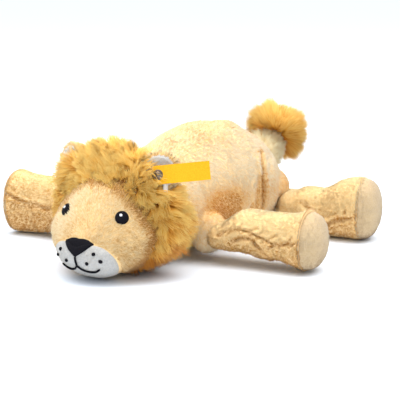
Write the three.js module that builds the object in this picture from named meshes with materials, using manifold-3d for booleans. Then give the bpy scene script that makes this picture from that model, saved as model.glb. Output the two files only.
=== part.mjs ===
// A plush lion that lies on its belly with its legs spread out, in millimetres.
// It looks along -Y, its left side is +X, and the floor that it lies on is z = 0.
// The origin is on the floor, in the middle of the belly's flat resting face.
// Every soft piece is a form swept through a few sections and rounded at both ends.
// Each cover is a shell that lies open where it is sewn on, with its filling inside.

import * as THREE from "three";
import Module from "manifold-3d";
import { mergeVertices } from "three/addons/utils/BufferGeometryUtils.js";

const wasm = await Module();
wasm.setup();

// Gaps and thicknesses that many pieces share.
const seamGap = 0.3;
const jointGap = 0.8;
const floorSink = 0.5;
const coverWall = 3;
const overrun = 20;

// The torso lies from its front to its rump, its sections given from the front.
const torso = { length: 154, width: 98, height: 90, frontCap: 30, rumpCap: 36, power: 2.3 };
const torsoFrontShare = 0.623;
const torsoShares = [
  { along: 0, width: 0.7, low: 0.08, high: 0.76, crown: 0, chin: 0 },
  { along: 0.2, width: 0.84, low: 0.02, high: 0.88, crown: 0, chin: 0 },
  { along: 0.45, width: 0.96, low: 0, high: 0.99, crown: 0, chin: 0 },
  { along: 0.62, width: 1, low: 0, high: 1, crown: 0.05, chin: 0 },
  { along: 0.8, width: 0.97, low: 0, high: 0.9, crown: 0.12, chin: 0 },
  { along: 1, width: 0.86, low: 0, high: 0.68, crown: 0.2, chin: 0 },
];
const torsoFrontY = -torsoFrontShare * torso.length;

// The neck is round about the axis that the head nods on.
const neck = { setBack: 14, lift: 39, radius: 35, halfWidth: 40 };
const neckPlace = new THREE.Vector3(0, torsoFrontY + neck.setBack, neck.lift);

// The head, its sections given from the nose.
const head = { length: 82, width: 91, height: 82, setForward: 10, noseCap: 24, backCap: 20, power: 2.2 };
const headShares = [
  { along: 0, width: 0.5, low: 0.02, high: 0.48, crown: 0.3, chin: 0.1 },
  { along: 0.13, width: 0.72, low: 0, high: 0.6, crown: 0.4, chin: 0.2 },
  { along: 0.27, width: 0.88, low: 0, high: 0.75, crown: 0.42, chin: 0.2 },
  { along: 0.45, width: 1, low: 0, high: 0.88, crown: 0.28, chin: 0.12 },
  { along: 0.7, width: 0.98, low: 0.04, high: 0.93, crown: 0, chin: 0 },
  { along: 1, width: 0.82, low: 0.08, high: 0.8, crown: 0, chin: 0 },
];
const headBackY = neckPlace.y - head.setForward;
const headNoseY = headBackY - head.length;

// The mane is a ring of long pile round the head.
const mane = { depth: 44, setForward: 12, pileAcross: 11.5, pileAbove: 10, frontCap: 14, backCap: 16, power: 2.1 };
const maneShares = [
  { along: 0, width: 0.84, low: 0, high: 0.76, crown: 0.1 },
  { along: 0.35, width: 0.98, low: 0, high: 1, crown: 0.2 },
  { along: 0.7, width: 1, low: 0, high: 0.88, crown: 0.2 },
  { along: 1, width: 0.88, low: 0, high: 0.66, crown: 0.2 },
];
const maneBackY = headBackY - mane.setForward;

// Thickness of what is sewn on the face, and where each layer starts above the head.
const patchThickness = 1;
const stitchThickness = 0.9;
const eyeThickness = 1.4;
const faceDepth = 15;
const stitchStart = seamGap + patchThickness + seamGap;
const shineStart = seamGap + eyeThickness + seamGap;

// Places on the face are shares of the head's half width and height.
const noseShares = [[0, 0.4], [0.17, 0.375], [0.26, 0.345], [0.14, 0.28], [0, 0.24]];
const muzzleShares = [
  [0, 0.3], [0.2, 0.35], [0.4, 0.335], [0.54, 0.285], [0.6, 0.21], [0.56, 0.13], [0.42, 0.06], [0.2, 0.022],
  [0, 0.018],
];
const mouthStemShares = [[0, 0.232], [0, 0.165]];
const mouthCurveShares = [[0.012, 0.156], [0.08, 0.115], [0.2, 0.1], [0.31, 0.118], [0.4, 0.16]];
const whiskerShares = [[0.32, 0.28], [0.21, 0.195], [0.41, 0.22]];
const mouthLineWidth = 1.3;
const mouthFork = 1;
const whiskerRadius = 1.3;
const eye = { radius: 4.8, shineRadius: 1.5, shineUp: 0.8, depth: 16, turn: 40, tilt: 25 };
const eyePlaceShare = { across: 0.53, up: 0.555, along: 0.23 };

// The ears are shallow cups with a pale lining, and stand in the mane.
const ear = { radius: 13, thickness: 6, liningRadius: 10.5, liningThickness: 3, turn: 24, lean: 12 };
const earPlaceShare = { across: 0.8, up: 0.89, along: 0.55 };

// A woven tag is held at the left ear by a plain rivet with a washer behind the ear.
const tag = { length: 38, width: 12.5, thickness: 0.8, hem: 3.4, rise: 7, drop: 2.4 };
const rivet = { headRadius: 3.6, headHeight: 1.2, pinRadius: 1.2, washerRadius: 3.2, washerThickness: 0.7 };
const careLabel = { length: 6, width: 3.2, thickness: 0.6 };

// The legs lie on the floor and flap at the crease by the torso, about an axis along Y.
const leg = { standOff: 1, soleCap: 5, solePlane: 3, power: 2.2 };
const foreleg = { reach: 76, width: 43, height: 42, turn: 6 };
const farForeleg = { reach: 92, width: 42, height: 49, turn: -4 };
const hindleg = { reach: 71, width: 42, height: 47, turn: 8 };
const forelegPlaceShare = 0.175;
const hindlegPlaceShare = 0.85;
const forelegShares = [
  { along: 0, width: 0.86, high: 0.5, lift: 0.45 },
  { along: 0.18, width: 0.88, high: 0.82, lift: 0.51 },
  { along: 0.45, width: 0.88, high: 0.88, lift: 0.5 },
  { along: 0.75, width: 0.91, high: 0.96, lift: 0 },
  { along: 1, width: 1.02, high: 1.06, lift: 0 },
];
const hindlegShares = [
  { along: 0, width: 0.9, high: 0.48, lift: 0.4 },
  { along: 0.2, width: 0.98, high: 0.8, lift: 0.42 },
  { along: 0.38, width: 0.86, high: 0.78, lift: 0 },
  { along: 0.6, width: 0.98, high: 0.98, lift: 0 },
  { along: 1, width: 1.04, high: 1, lift: 0 },
];
const shoulder = { inset: 12, halfLength: 17, halfWidth: 14, halfHeight: 17, lift: 20, foldOutset: 9 };

// The tail bends at a ball in the rump and ends in a tuft of long pile.
const tail = { radius: 7.5, rootInset: 4, rootLift: 43, tipRun: 38, tipRise: 20, sag: 4, tipCap: 5, wall: 2 };
const tailSeatGap = 0.5;
const tailFlare = { radius: 12, depth: 10, outset: 6 };
const tuft = { radius: 25, run: 42, rise: 28, sideways: 2 };

// Counts of facets, and a size larger than the whole toy.
const bodySides = 20;
const headSides = 20;
const legSides = 12;
const neckSides = 26;
const ballSides = 12;
const ballSteps = 6;
const smallSides = 10;
const stripSteps = 6;
const patchSteps = 32;
const noseSteps = 20;
const capRings = 3;
const bodyRings = 5;
const roomSize = 400;

function material(color, roughness, metalness = 0) {
  return new THREE.MeshStandardMaterial({ color, roughness, metalness });
}

const looks = {
  plush: material(0xebc98f, 0.95),
  mane: material(0xd99f4a, 0.95),
  sole: material(0xe2c598, 0.95),
  muzzle: material(0xe3e3e3, 0.9),
  lining: material(0xf2ece0, 0.9),
  stitch: material(0x1c1a22, 0.6),
  shine: material(0xf4f4f4, 0.6),
  filling: material(0xf5f3ee, 1),
  tag: material(0xf2c230, 0.8),
  label: material(0xf6f4f0, 0.8),
  metal: material(0xa79c8c, 0.35, 0.9),
};

function vector(x, y, z) {
  return new THREE.Vector3(x, y, z);
}

const acrossX = vector(1, 0, 0);
const alongY = vector(0, 1, 0);

function radians(degrees) {
  return THREE.MathUtils.degToRad(degrees);
}

function solidOf(positions, index) {
  return new wasm.Manifold(new wasm.Mesh({
    numProp: 3,
    vertProperties: new Float32Array(positions),
    triVerts: new Uint32Array(index),
  }));
}

// A solid out of a closed geometry, without the triangles that merging has made empty.
function solidFrom(geometry) {
  geometry.deleteAttribute("normal");
  geometry.deleteAttribute("uv");
  const merged = mergeVertices(geometry);
  const corners = merged.index.array;
  const index = [];
  for (let i = 0; i < corners.length; i += 3) {
    const [a, b, c] = corners.slice(i, i + 3);
    if (a !== b && b !== c && c !== a) {
      index.push(a, b, c);
    }
  }
  return solidOf(merged.getAttribute("position").array, index);
}

function boxBetween(low, high) {
  const size = high.clone().sub(low);
  const middle = low.clone().add(high).multiplyScalar(1 / 2);
  return solidFrom(new THREE.BoxGeometry(size.x, size.y, size.z).translate(middle.x, middle.y, middle.z));
}

function geometryOf(solid) {
  const mesh = solid.getMesh();
  const geometry = new THREE.BufferGeometry();
  geometry.setAttribute("position", new THREE.BufferAttribute(mesh.vertProperties, 3));
  geometry.setIndex(new THREE.BufferAttribute(mesh.triVerts, 1));
  return geometry;
}

function piece(name, solid, look) {
  const geometry = geometryOf(solid);
  geometry.computeVertexNormals();
  const made = new THREE.Mesh(geometry, look);
  made.name = name;
  return made;
}

// How much a section has shrunk at a distance from the end that its cap rounds.
function capShrink(distance, cap) {
  if (distance >= cap) {
    return 1;
  }
  return Math.sqrt(Math.max(0, 1 - (1 - distance / cap) ** 2));
}

function roundedPower(value, power) {
  return Math.sign(value) * Math.abs(value) ** (2 / power);
}

// Distances along a form's middle line at which it has a ring of corners.
function ringDistances(length, form, grow) {
  const startCap = form.startCap + grow;
  const endCap = form.endCap + grow;
  const distances = [];
  for (let i = 0; i <= capRings; i += 1) {
    distances.push(startCap * (1 - Math.cos((i / capRings) * Math.PI / 2)) - grow);
  }
  for (let i = 1; i < form.rings; i += 1) {
    distances.push(form.startCap + (length - form.startCap - form.endCap) * (i / form.rings));
  }
  for (let i = capRings; i >= 0; i -= 1) {
    distances.push(length + grow - endCap * (1 - Math.cos((i / capRings) * Math.PI / 2)));
  }
  return distances;
}

// Joins rings of corners, with a single corner at each end, into a closed solid.
function ringSolid(positions, ringCount, sides) {
  const index = [];
  const corner = (ring, j) => 1 + ring * sides + (j % sides);
  const last = 1 + ringCount * sides;
  for (let j = 0; j < sides; j += 1) {
    index.push(0, corner(0, j), corner(0, j + 1));
    for (let ring = 0; ring < ringCount - 1; ring += 1) {
      index.push(corner(ring, j), corner(ring + 1, j + 1), corner(ring, j + 1));
      index.push(corner(ring, j), corner(ring + 1, j), corner(ring + 1, j + 1));
    }
    index.push(last, corner(ringCount - 1, j + 1), corner(ringCount - 1, j));
  }
  return solidOf(positions, index);
}

// A form swept through its stations and grown outwards, or inwards where grow is negative.
function swept(form, grow = 0) {
  const middle = new THREE.CatmullRomCurve3(form.stations.map((s) => s.place));
  const halves = new THREE.CatmullRomCurve3(form.stations.map((s) => vector(s.half[0], s.half[1], 0)));
  const narrows = new THREE.CatmullRomCurve3(form.stations.map((s) => vector(s.crown ?? 0, s.chin ?? 0, 0)));
  const length = middle.getLength();
  const distances = ringDistances(length, form, grow);
  const positions = [];
  distances.forEach((distance, i) => {
    const along = THREE.MathUtils.clamp(distance / length, 0, 1);
    const t = middle.getUtoTmapping(along);
    const forward = form.heading ?? middle.getTangent(t);
    const side = form.across.clone().addScaledVector(forward, -form.across.dot(forward)).normalize();
    const up = side.clone().cross(forward).normalize();
    const place = middle.getPoint(t).addScaledVector(forward, distance - along * length);
    if (i === 0 || i === distances.length - 1) {
      positions.push(...place.toArray());
      return;
    }
    const half = halves.getPoint(t);
    const narrow = narrows.getPoint(t);
    const startShrink = capShrink(distance + grow, form.startCap + grow);
    const shrink = Math.min(startShrink, capShrink(length + grow - distance, form.endCap + grow));
    for (let j = 0; j < form.sides; j += 1) {
      const angle = (j / form.sides) * 2 * Math.PI;
      const sine = Math.sin(angle);
      const waist = 1 - narrow.x * Math.max(0, sine) - narrow.y * Math.max(0, -sine);
      const a = (half.x * waist + grow) * shrink * roundedPower(Math.cos(angle), form.power);
      const b = (half.y + grow) * shrink * roundedPower(sine, form.power);
      positions.push(...place.clone().addScaledVector(side, a).addScaledVector(up, b).toArray());
    }
  });
  return ringSolid(positions, distances.length - 2, form.sides);
}

// A solid that is round about an axis, its radius a superellipse of the place along it.
function roundAbout(axis, place, radius, halfLength, power, sides = ballSides) {
  const profile = [];
  for (let i = 0; i <= ballSteps; i += 1) {
    const angle = (i / ballSteps - 1 / 2) * Math.PI;
    const r = i === 0 || i === ballSteps ? 0 : radius * roundedPower(Math.cos(angle), power);
    profile.push(new THREE.Vector2(r, halfLength * roundedPower(Math.sin(angle), power)));
  }
  const geometry = new THREE.LatheGeometry(profile, sides);
  geometry.applyQuaternion(new THREE.Quaternion().setFromUnitVectors(alongY, axis));
  return solidFrom(geometry.translate(place.x, place.y, place.z));
}

// The space above the floor, or above a level over it.
function roomAbove(level) {
  return boxBetween(vector(-roomSize, -roomSize, level), vector(roomSize, roomSize, roomSize));
}

const standingRoom = roomAbove(0);
const hollowRoom = roomAbove(coverWall);
const fillingRoom = roomAbove(coverWall + seamGap);

// Stations of a form that lies along Y, from the shares of its sizes.
function lyingStations(size, shares, fromY, toY) {
  return shares.map((share) => {
    const low = share.low * (size.height + floorSink) - floorSink;
    const high = share.high * (size.height + floorSink) - floorSink;
    return {
      place: vector(0, fromY + share.along * (toY - fromY), (low + high) / 2),
      half: [share.width * size.width / 2, (high - low) / 2],
      crown: share.crown,
      chin: share.chin,
    };
  });
}

const torsoForm = {
  stations: lyingStations(torso, torsoShares, torsoFrontY, torsoFrontY + torso.length),
  startCap: torso.frontCap,
  endCap: torso.rumpCap,
  heading: alongY,
  across: acrossX,
  rings: bodyRings,
  sides: bodySides,
  power: torso.power,
};

const headForm = {
  stations: lyingStations(head, headShares, headNoseY, headBackY),
  startCap: head.noseCap,
  endCap: head.backCap,
  heading: alongY,
  across: acrossX,
  rings: bodyRings,
  sides: headSides,
  power: head.power,
};

const maneSize = { width: head.width + 2 * mane.pileAcross, height: head.height + mane.pileAbove };
const maneForm = {
  stations: lyingStations(maneSize, maneShares, maneBackY - mane.depth, maneBackY),
  startCap: mane.frontCap,
  endCap: mane.backCap,
  heading: alongY,
  across: acrossX,
  rings: bodyRings,
  sides: bodySides,
  power: mane.power,
};

function neckBall(grow) {
  return roundAbout(acrossX, neckPlace, neck.radius + grow, neck.halfWidth + grow, 2, neckSides);
}

// One leg's hinge, direction and the form that it is swept to.
function legPlan(name, side, size, shares, placeShare) {
  const turn = radians(size.turn);
  const outward = vector(side * Math.cos(turn), Math.sin(turn), 0);
  const rootRadius = shares[0].high * size.height / 2;
  const rootHalfWidth = shares[0].width * size.width / 2;
  const hinge = vector(
    side * (torso.width / 2 + leg.standOff),
    torsoFrontY + placeShare * torso.length,
    shares[0].lift * size.height,
  );
  const stations = shares.map((share, i) => {
    const half = share.high * size.height / 2;
    const lift = i === 0 ? hinge.z : Math.max(half - floorSink, share.lift * size.height);
    const place = hinge.clone().addScaledVector(outward, share.along * size.reach).setZ(lift);
    return { place, half: [share.width * size.width / 2, half] };
  });
  stations.unshift({
    place: hinge.clone().addScaledVector(acrossX, -side * rootRadius),
    half: [rootHalfWidth, rootRadius],
  });
  const form = {
    stations,
    startCap: rootRadius,
    endCap: leg.soleCap,
    across: vector(0, -side, 0),
    rings: bodyRings,
    sides: legSides,
    power: leg.power,
  };
  return { name, side, hinge, outward, rootRadius, rootHalfWidth, reach: size.reach, form };
}

const legPlans = [
  legPlan("foreleg_left", 1, foreleg, forelegShares, forelegPlaceShare),
  legPlan("foreleg_right", -1, farForeleg, forelegShares, forelegPlaceShare),
  legPlan("hindleg_left", 1, hindleg, hindlegShares, hindlegPlaceShare),
  legPlan("hindleg_right", -1, hindleg, hindlegShares, hindlegPlaceShare),
];

function legSeat(plan, grow) {
  return roundAbout(alongY, plan.hinge, plan.rootRadius + grow, plan.rootHalfWidth + grow, leg.power);
}

// The fold in front of a shoulder that gives the foreleg its room to flap.
function shoulderFold(plan, grow) {
  const place = plan.hinge.clone().addScaledVector(acrossX, plan.side * shoulder.foldOutset);
  const radius = plan.rootRadius + shoulder.foldOutset + grow;
  return roundAbout(alongY, place, radius, plan.rootHalfWidth + shoulder.foldOutset + grow, 2);
}

// Everything on the body's side of a plane across the leg, at a distance inside its tip.
function beforeSole(plan, inside) {
  const edge = plan.reach - inside;
  const slab = new THREE.BoxGeometry(edge + roomSize, roomSize, roomSize);
  slab.translate((edge - roomSize) / 2, 0, 0);
  slab.applyQuaternion(new THREE.Quaternion().setFromUnitVectors(acrossX, plan.outward));
  return solidFrom(slab.translate(plan.hinge.x, plan.hinge.y, plan.hinge.z));
}

function legPieces(plan) {
  const outer = swept(plan.form).intersect(standingRoom);
  const hollow = swept(plan.form, -coverWall).intersect(hollowRoom);
  const cover = outer.intersect(beforeSole(plan, leg.solePlane)).subtract(hollow);
  const filling = swept(plan.form, -coverWall - seamGap)
    .intersect(fillingRoom)
    .intersect(beforeSole(plan, leg.solePlane + seamGap));
  const sole = outer.subtract(beforeSole(plan, leg.solePlane - seamGap));
  return [
    piece(`${plan.name}_cover`, cover, looks.plush),
    piece(`${plan.name}_filling`, filling, looks.filling),
    piece(`${plan.name}_sole`, sole, looks.sole),
  ];
}

// The torso with the neck and a shoulder at each foreleg, grown as a swept form is.
function torsoBlock(grow) {
  let block = swept(torsoForm, grow).add(neckBall(grow));
  for (const plan of legPlans.slice(0, 2)) {
    const place = plan.hinge.clone().addScaledVector(acrossX, -plan.side * shoulder.inset).setZ(shoulder.lift);
    const ball = new THREE.SphereGeometry(1, ballSides, ballSteps);
    ball.scale(shoulder.halfWidth + grow, shoulder.halfLength + grow, shoulder.halfHeight + grow);
    block = block.add(solidFrom(ball.translate(place.x, place.y, place.z)));
  }
  return block;
}

const tailRoot = vector(0, torsoFrontY + torso.length - tail.rootInset, tail.rootLift);
const tailTip = tailRoot.clone().add(vector(0, tail.tipRun, tail.tipRise));

// The tail's form, with more stem past its tip where that is asked for.
function tailForm(pastTip = 0) {
  const half = [tail.radius, tail.radius];
  const middle = tailRoot.clone().lerp(tailTip, 1 / 2).add(vector(0, 0, -tail.sag));
  const stations = [
    { place: tailRoot.clone().add(vector(0, -tail.radius, 0)), half },
    { place: tailRoot, half },
    { place: middle, half },
    { place: tailTip, half },
  ];
  if (pastTip > 0) {
    const outward = tailTip.clone().sub(middle).normalize();
    stations.push({ place: tailTip.clone().addScaledVector(outward, pastTip), half });
  }
  const caps = { startCap: tail.radius, endCap: tail.tipCap };
  return { stations, ...caps, across: acrossX, rings: bodyRings, sides: smallSides, power: 2 };
}

// The seat of the tail's ball in the rump, with a flared mouth that the stem bends in.
function tailSeat(grow) {
  const ball = roundAbout(acrossX, tailRoot, tail.radius + grow, tail.radius + grow, 2);
  const mouth = tailRoot.clone().addScaledVector(alongY, tailFlare.outset);
  return ball.add(roundAbout(alongY, mouth, tailFlare.radius + grow, tailFlare.depth + grow, 2));
}

function torsoPieces() {
  let cover = torsoBlock(0).intersect(standingRoom).subtract(torsoBlock(-coverWall).intersect(hollowRoom));
  let filling = torsoBlock(-coverWall - seamGap).intersect(fillingRoom);
  for (const plan of legPlans) {
    cover = cover.subtract(legSeat(plan, jointGap));
    filling = filling.subtract(legSeat(plan, jointGap + seamGap));
  }
  for (const plan of legPlans.slice(0, 2)) {
    cover = cover.subtract(shoulderFold(plan, 0));
    filling = filling.subtract(shoulderFold(plan, seamGap));
  }
  cover = cover.subtract(tailSeat(tailSeatGap));
  filling = filling.subtract(tailSeat(tailSeatGap + seamGap));
  return [piece("torso_cover", cover, looks.plush), piece("torso_filling", filling, looks.filling)];
}

function tailPieces() {
  const tuftPlace = tailRoot.clone().add(vector(tuft.sideways, tuft.run, tuft.rise));
  const ball = new THREE.SphereGeometry(tuft.radius, ballSides, ballSteps);
  const tuftSolid = solidFrom(ball.translate(tuftPlace.x, tuftPlace.y, tuftPlace.z));
  const cover = swept(tailForm()).subtract(swept(tailForm(overrun), -tail.wall));
  const filling = swept(tailForm(overrun), -tail.wall - seamGap).intersect(swept(tailForm(), -seamGap));
  return [
    piece("tail_cover", cover, looks.plush),
    piece("tail_filling", filling, looks.filling),
    piece("tail_tuft", tuftSolid.subtract(swept(tailForm(), seamGap)), looks.mane),
  ];
}

function headLayer(start, thickness, cutter) {
  return swept(headForm, start + thickness).subtract(swept(headForm, start)).intersect(cutter);
}

// Points on the face, seen from the front, out of shares of the head's sizes.
function facePoints(shares, side = 1) {
  return shares.map((share) => new THREE.Vector2(side * share[0] * head.width / 2, share[1] * head.height));
}

// A prism along Y through the front of the head, from an outline seen from the front.
function facePrism(outline) {
  const depth = faceDepth + overrun;
  const geometry = new THREE.ExtrudeGeometry(new THREE.Shape(outline), { depth, bevelEnabled: false });
  return solidFrom(geometry.rotateX(Math.PI / 2).translate(0, headNoseY + faceDepth, 0));
}

// A closed outline through points on one side of the face and their mirror images.
function mirroredOutline(shares, steps) {
  const near = facePoints(shares);
  const far = facePoints(shares, -1).reverse().slice(1, -1);
  const curve = new THREE.CatmullRomCurve3([...near, ...far].map((p) => vector(p.x, p.y, 0)), true);
  return curve.getPoints(steps).slice(0, -1).map((p) => new THREE.Vector2(p.x, p.y));
}

// The outline of a stitched line of even width through points on the face.
function strokeOutline(points, width, steps) {
  const curve = new THREE.SplineCurve(points);
  const left = [];
  const right = [];
  for (let i = 0; i <= steps; i += 1) {
    const point = curve.getPoint(i / steps);
    const tangent = curve.getTangent(i / steps);
    const normal = new THREE.Vector2(-tangent.y, tangent.x).multiplyScalar(width / 2);
    left.push(point.clone().add(normal));
    right.unshift(point.clone().sub(normal));
  }
  return [...left, ...right];
}

function mouthCutter() {
  const stem = facePoints(mouthStemShares);
  let cutter = facePrism(strokeOutline(stem, mouthLineWidth, 1));
  for (const side of [1, -1]) {
    const points = facePoints(mouthCurveShares, side);
    points.unshift(new THREE.Vector2(-side * mouthLineWidth / 2, stem[1].y + mouthFork));
    cutter = cutter.add(facePrism(strokeOutline(points, mouthLineWidth, stripSteps)));
  }
  return cutter;
}

// A round rod along a direction, to cut a stitched spot out of a layer on the head.
function spotCutter(radius, place, direction, depth) {
  const rod = new THREE.CylinderGeometry(radius, radius, depth, smallSides);
  rod.applyQuaternion(new THREE.Quaternion().setFromUnitVectors(alongY, direction));
  return solidFrom(rod.translate(place.x, place.y, place.z));
}

function eyePieces(side, word) {
  const turn = radians(eye.turn);
  const tilt = radians(eye.tilt);
  const look = vector(side * Math.sin(turn) * Math.cos(tilt), -Math.cos(turn) * Math.cos(tilt), Math.sin(tilt));
  const place = vector(
    side * eyePlaceShare.across * head.width / 2,
    headNoseY + eyePlaceShare.along * head.length,
    eyePlaceShare.up * head.height,
  );
  const shinePlace = place.clone().add(vector(0, 0, eye.shineUp));
  const eyeball = headLayer(seamGap, eyeThickness, spotCutter(eye.radius, place, look, eye.depth));
  const shine = headLayer(shineStart, stitchThickness, spotCutter(eye.shineRadius, shinePlace, look, eye.depth));
  return [
    piece(`eye_${word}`, eyeball, looks.stitch),
    piece(`eye_shine_${word}`, shine, looks.shine),
  ];
}

function whiskerPieces(side, word) {
  return facePoints(whiskerShares, side).map((point, i) => {
    const place = vector(point.x, headNoseY, point.y);
    const spot = headLayer(stitchStart, stitchThickness, spotCutter(whiskerRadius, place, alongY, head.length));
    return piece(`whisker_spot_${word}_${i + 1}`, spot, looks.stitch);
  });
}

// An ear's own frame: its face looks along +Y and its top along +Z before it is placed.
function earPlacement(side) {
  const place = vector(
    side * earPlaceShare.across * head.width / 2,
    headNoseY + earPlaceShare.along * head.length,
    earPlaceShare.up * head.height,
  );
  const turn = new THREE.Euler(radians(ear.lean), 0, Math.PI + radians(side * ear.turn), "ZYX");
  return new THREE.Matrix4().makeRotationFromEuler(turn).setPosition(place);
}

function disc(radius, thickness, y) {
  return roundAbout(alongY, vector(0, y, 0), radius, thickness / 2, 2);
}

// A round rod along the ear's Y, at the place where the rivet goes through.
function rivetRod(radius, fromY, toY) {
  const cylinder = new THREE.CylinderGeometry(radius, radius, toY - fromY, smallSides);
  return solidFrom(cylinder.translate(0, (fromY + toY) / 2, -tag.drop));
}

const liningY = ear.thickness / 2;
const tagBackY = liningY + ear.liningThickness / 2 + seamGap;
const tagFrontY = tagBackY + tag.thickness;
const rivetHeadY = tagFrontY + seamGap;
const washerY = -ear.thickness / 2 - seamGap;
const rivetBore = rivetRod(rivet.pinRadius + seamGap, -overrun, overrun);

function liningRoom() {
  return disc(ear.liningRadius + seamGap, ear.liningThickness + 2 * seamGap, liningY);
}

function earPieces(side, word) {
  let lining = disc(ear.liningRadius, ear.liningThickness, liningY);
  let shell = disc(ear.radius, ear.thickness, 0).subtract(liningRoom());
  if (side > 0) {
    lining = lining.subtract(rivetBore);
    shell = shell.subtract(rivetBore);
  }
  return [piece(`ear_${word}`, shell, looks.mane), piece(`ear_lining_${word}`, lining, looks.lining)];
}

// The tag's strip in the ear's frame, grown on all sides.
function tagStrip(grow) {
  const strip = new THREE.BoxGeometry(tag.length + 2 * grow, tag.thickness + 2 * grow, tag.width + 2 * grow);
  strip.translate(tag.hem - tag.length / 2, 0, 0).rotateY(radians(tag.rise));
  return solidFrom(strip.translate(0, (tagBackY + tagFrontY) / 2, -tag.drop));
}

// The small label hangs under the tag, beside the rivet.
function labelStrip(grow) {
  const sizes = [careLabel.width, careLabel.thickness, careLabel.length].map((size) => size + 2 * grow);
  const x = -rivet.headRadius - careLabel.width / 2;
  const underTag = -tag.drop - tag.width / 2 / Math.cos(radians(tag.rise)) + x * Math.tan(radians(-tag.rise));
  const strip = new THREE.BoxGeometry(...sizes);
  return solidFrom(strip.translate(x, (tagBackY + tagFrontY) / 2, underTag - 2 * seamGap - careLabel.length / 2));
}

function tagPieces() {
  const washer = rivetRod(rivet.washerRadius, washerY - rivet.washerThickness, washerY).subtract(rivetBore);
  const pin = rivetRod(rivet.pinRadius, washerY - rivet.washerThickness, rivetHeadY + rivet.headHeight / 2)
    .add(rivetRod(rivet.headRadius, rivetHeadY, rivetHeadY + rivet.headHeight));
  return [
    piece("ear_tag", tagStrip(0).subtract(rivetBore), looks.tag),
    piece("care_label", labelStrip(0), looks.label),
    piece("tag_rivet", pin, looks.metal),
    piece("rivet_washer", washer, looks.metal),
  ];
}

// An ear with everything on it, in a group that stands at the ear's place.
function earGroup(side, word) {
  const group = new THREE.Group();
  group.applyMatrix4(earPlacement(side));
  group.add(...earPieces(side, word));
  if (side > 0) {
    group.add(...tagPieces());
  }
  return group;
}

// The room that an ear, and at the left ear its tag too, takes up in the mane.
function earRoom(side) {
  let space = disc(ear.radius + seamGap, ear.thickness + 2 * seamGap, 0).add(liningRoom());
  if (side > 0) {
    const front = rivetHeadY + rivet.headHeight + seamGap;
    const back = washerY - rivet.washerThickness - seamGap;
    space = space.add(rivetRod(rivet.headRadius + seamGap, back, front));
    space = space.add(tagStrip(seamGap)).add(labelStrip(seamGap));
  }
  return solidFrom(geometryOf(space).applyMatrix4(earPlacement(side)));
}

function headPieces() {
  const neckRoom = neckBall(jointGap);
  const ears = earRoom(1).add(earRoom(-1));
  const hollow = swept(headForm, -coverWall).intersect(hollowRoom);
  const cover = swept(headForm).intersect(standingRoom).subtract(neckRoom).subtract(hollow).subtract(ears);
  const filling = swept(headForm, -coverWall - seamGap).intersect(fillingRoom)
    .subtract(neckBall(jointGap + seamGap))
    .subtract(ears);
  const ring = swept(maneForm).intersect(standingRoom)
    .subtract(swept(headForm, seamGap))
    .subtract(neckRoom)
    .subtract(ears);
  const patch = headLayer(seamGap, patchThickness, facePrism(mirroredOutline(muzzleShares, patchSteps)));
  const nose = headLayer(stitchStart, stitchThickness, facePrism(mirroredOutline(noseShares, noseSteps)));
  return [
    piece("head_cover", cover, looks.plush),
    piece("head_filling", filling, looks.filling),
    piece("mane", ring, looks.mane),
    piece("muzzle_patch", patch, looks.muzzle),
    piece("nose", nose, looks.stitch),
    piece("mouth", headLayer(stitchStart, stitchThickness, mouthCutter()), looks.stitch),
  ];
}

const lion = new THREE.Group();
lion.name = "plush_lion";
lion.add(...torsoPieces(), ...headPieces());
for (const [side, word] of [[1, "left"], [-1, "right"]]) {
  lion.add(...eyePieces(side, word), ...whiskerPieces(side, word), earGroup(side, word));
}
for (const plan of legPlans) {
  lion.add(...legPieces(plan));
}
lion.add(...tailPieces());

export default lion;
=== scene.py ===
"""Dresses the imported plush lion: skins, pile, stitched face, ears, tag and studio. In metres."""
import math
from collections import namedtuple
from itertools import product

import bmesh
import bpy
import numpy as np
from mathutils import Matrix, Vector, kdtree
from mathutils.bvhtree import BVHTree


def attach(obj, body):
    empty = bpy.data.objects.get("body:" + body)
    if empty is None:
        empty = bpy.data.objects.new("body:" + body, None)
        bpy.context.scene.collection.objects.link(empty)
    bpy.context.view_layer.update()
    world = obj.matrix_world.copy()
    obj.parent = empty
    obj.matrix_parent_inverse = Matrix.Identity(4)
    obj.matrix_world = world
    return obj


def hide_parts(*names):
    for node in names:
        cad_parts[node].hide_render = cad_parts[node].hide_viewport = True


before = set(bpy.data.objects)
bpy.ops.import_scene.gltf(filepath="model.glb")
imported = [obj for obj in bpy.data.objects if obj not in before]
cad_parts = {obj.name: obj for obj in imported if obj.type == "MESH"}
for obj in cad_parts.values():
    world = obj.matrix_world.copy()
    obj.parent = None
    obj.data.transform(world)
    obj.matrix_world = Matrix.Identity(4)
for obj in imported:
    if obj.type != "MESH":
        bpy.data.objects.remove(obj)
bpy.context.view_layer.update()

SIDES = {"left": 1, "right": -1}
FRONT = (0, 1, 0)
TINY = 1e-12
SAME_PLACE = 1e-7

# The swept forms, with the driving sizes that their solids have.
FLOOR_SINK = 0.0005
TORSO = {"length": 0.154, "width": 0.098, "height": 0.090, "caps": (0.030, 0.036), "power": 2.3}
TORSO_FRONT_SHARE = 0.623
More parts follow.
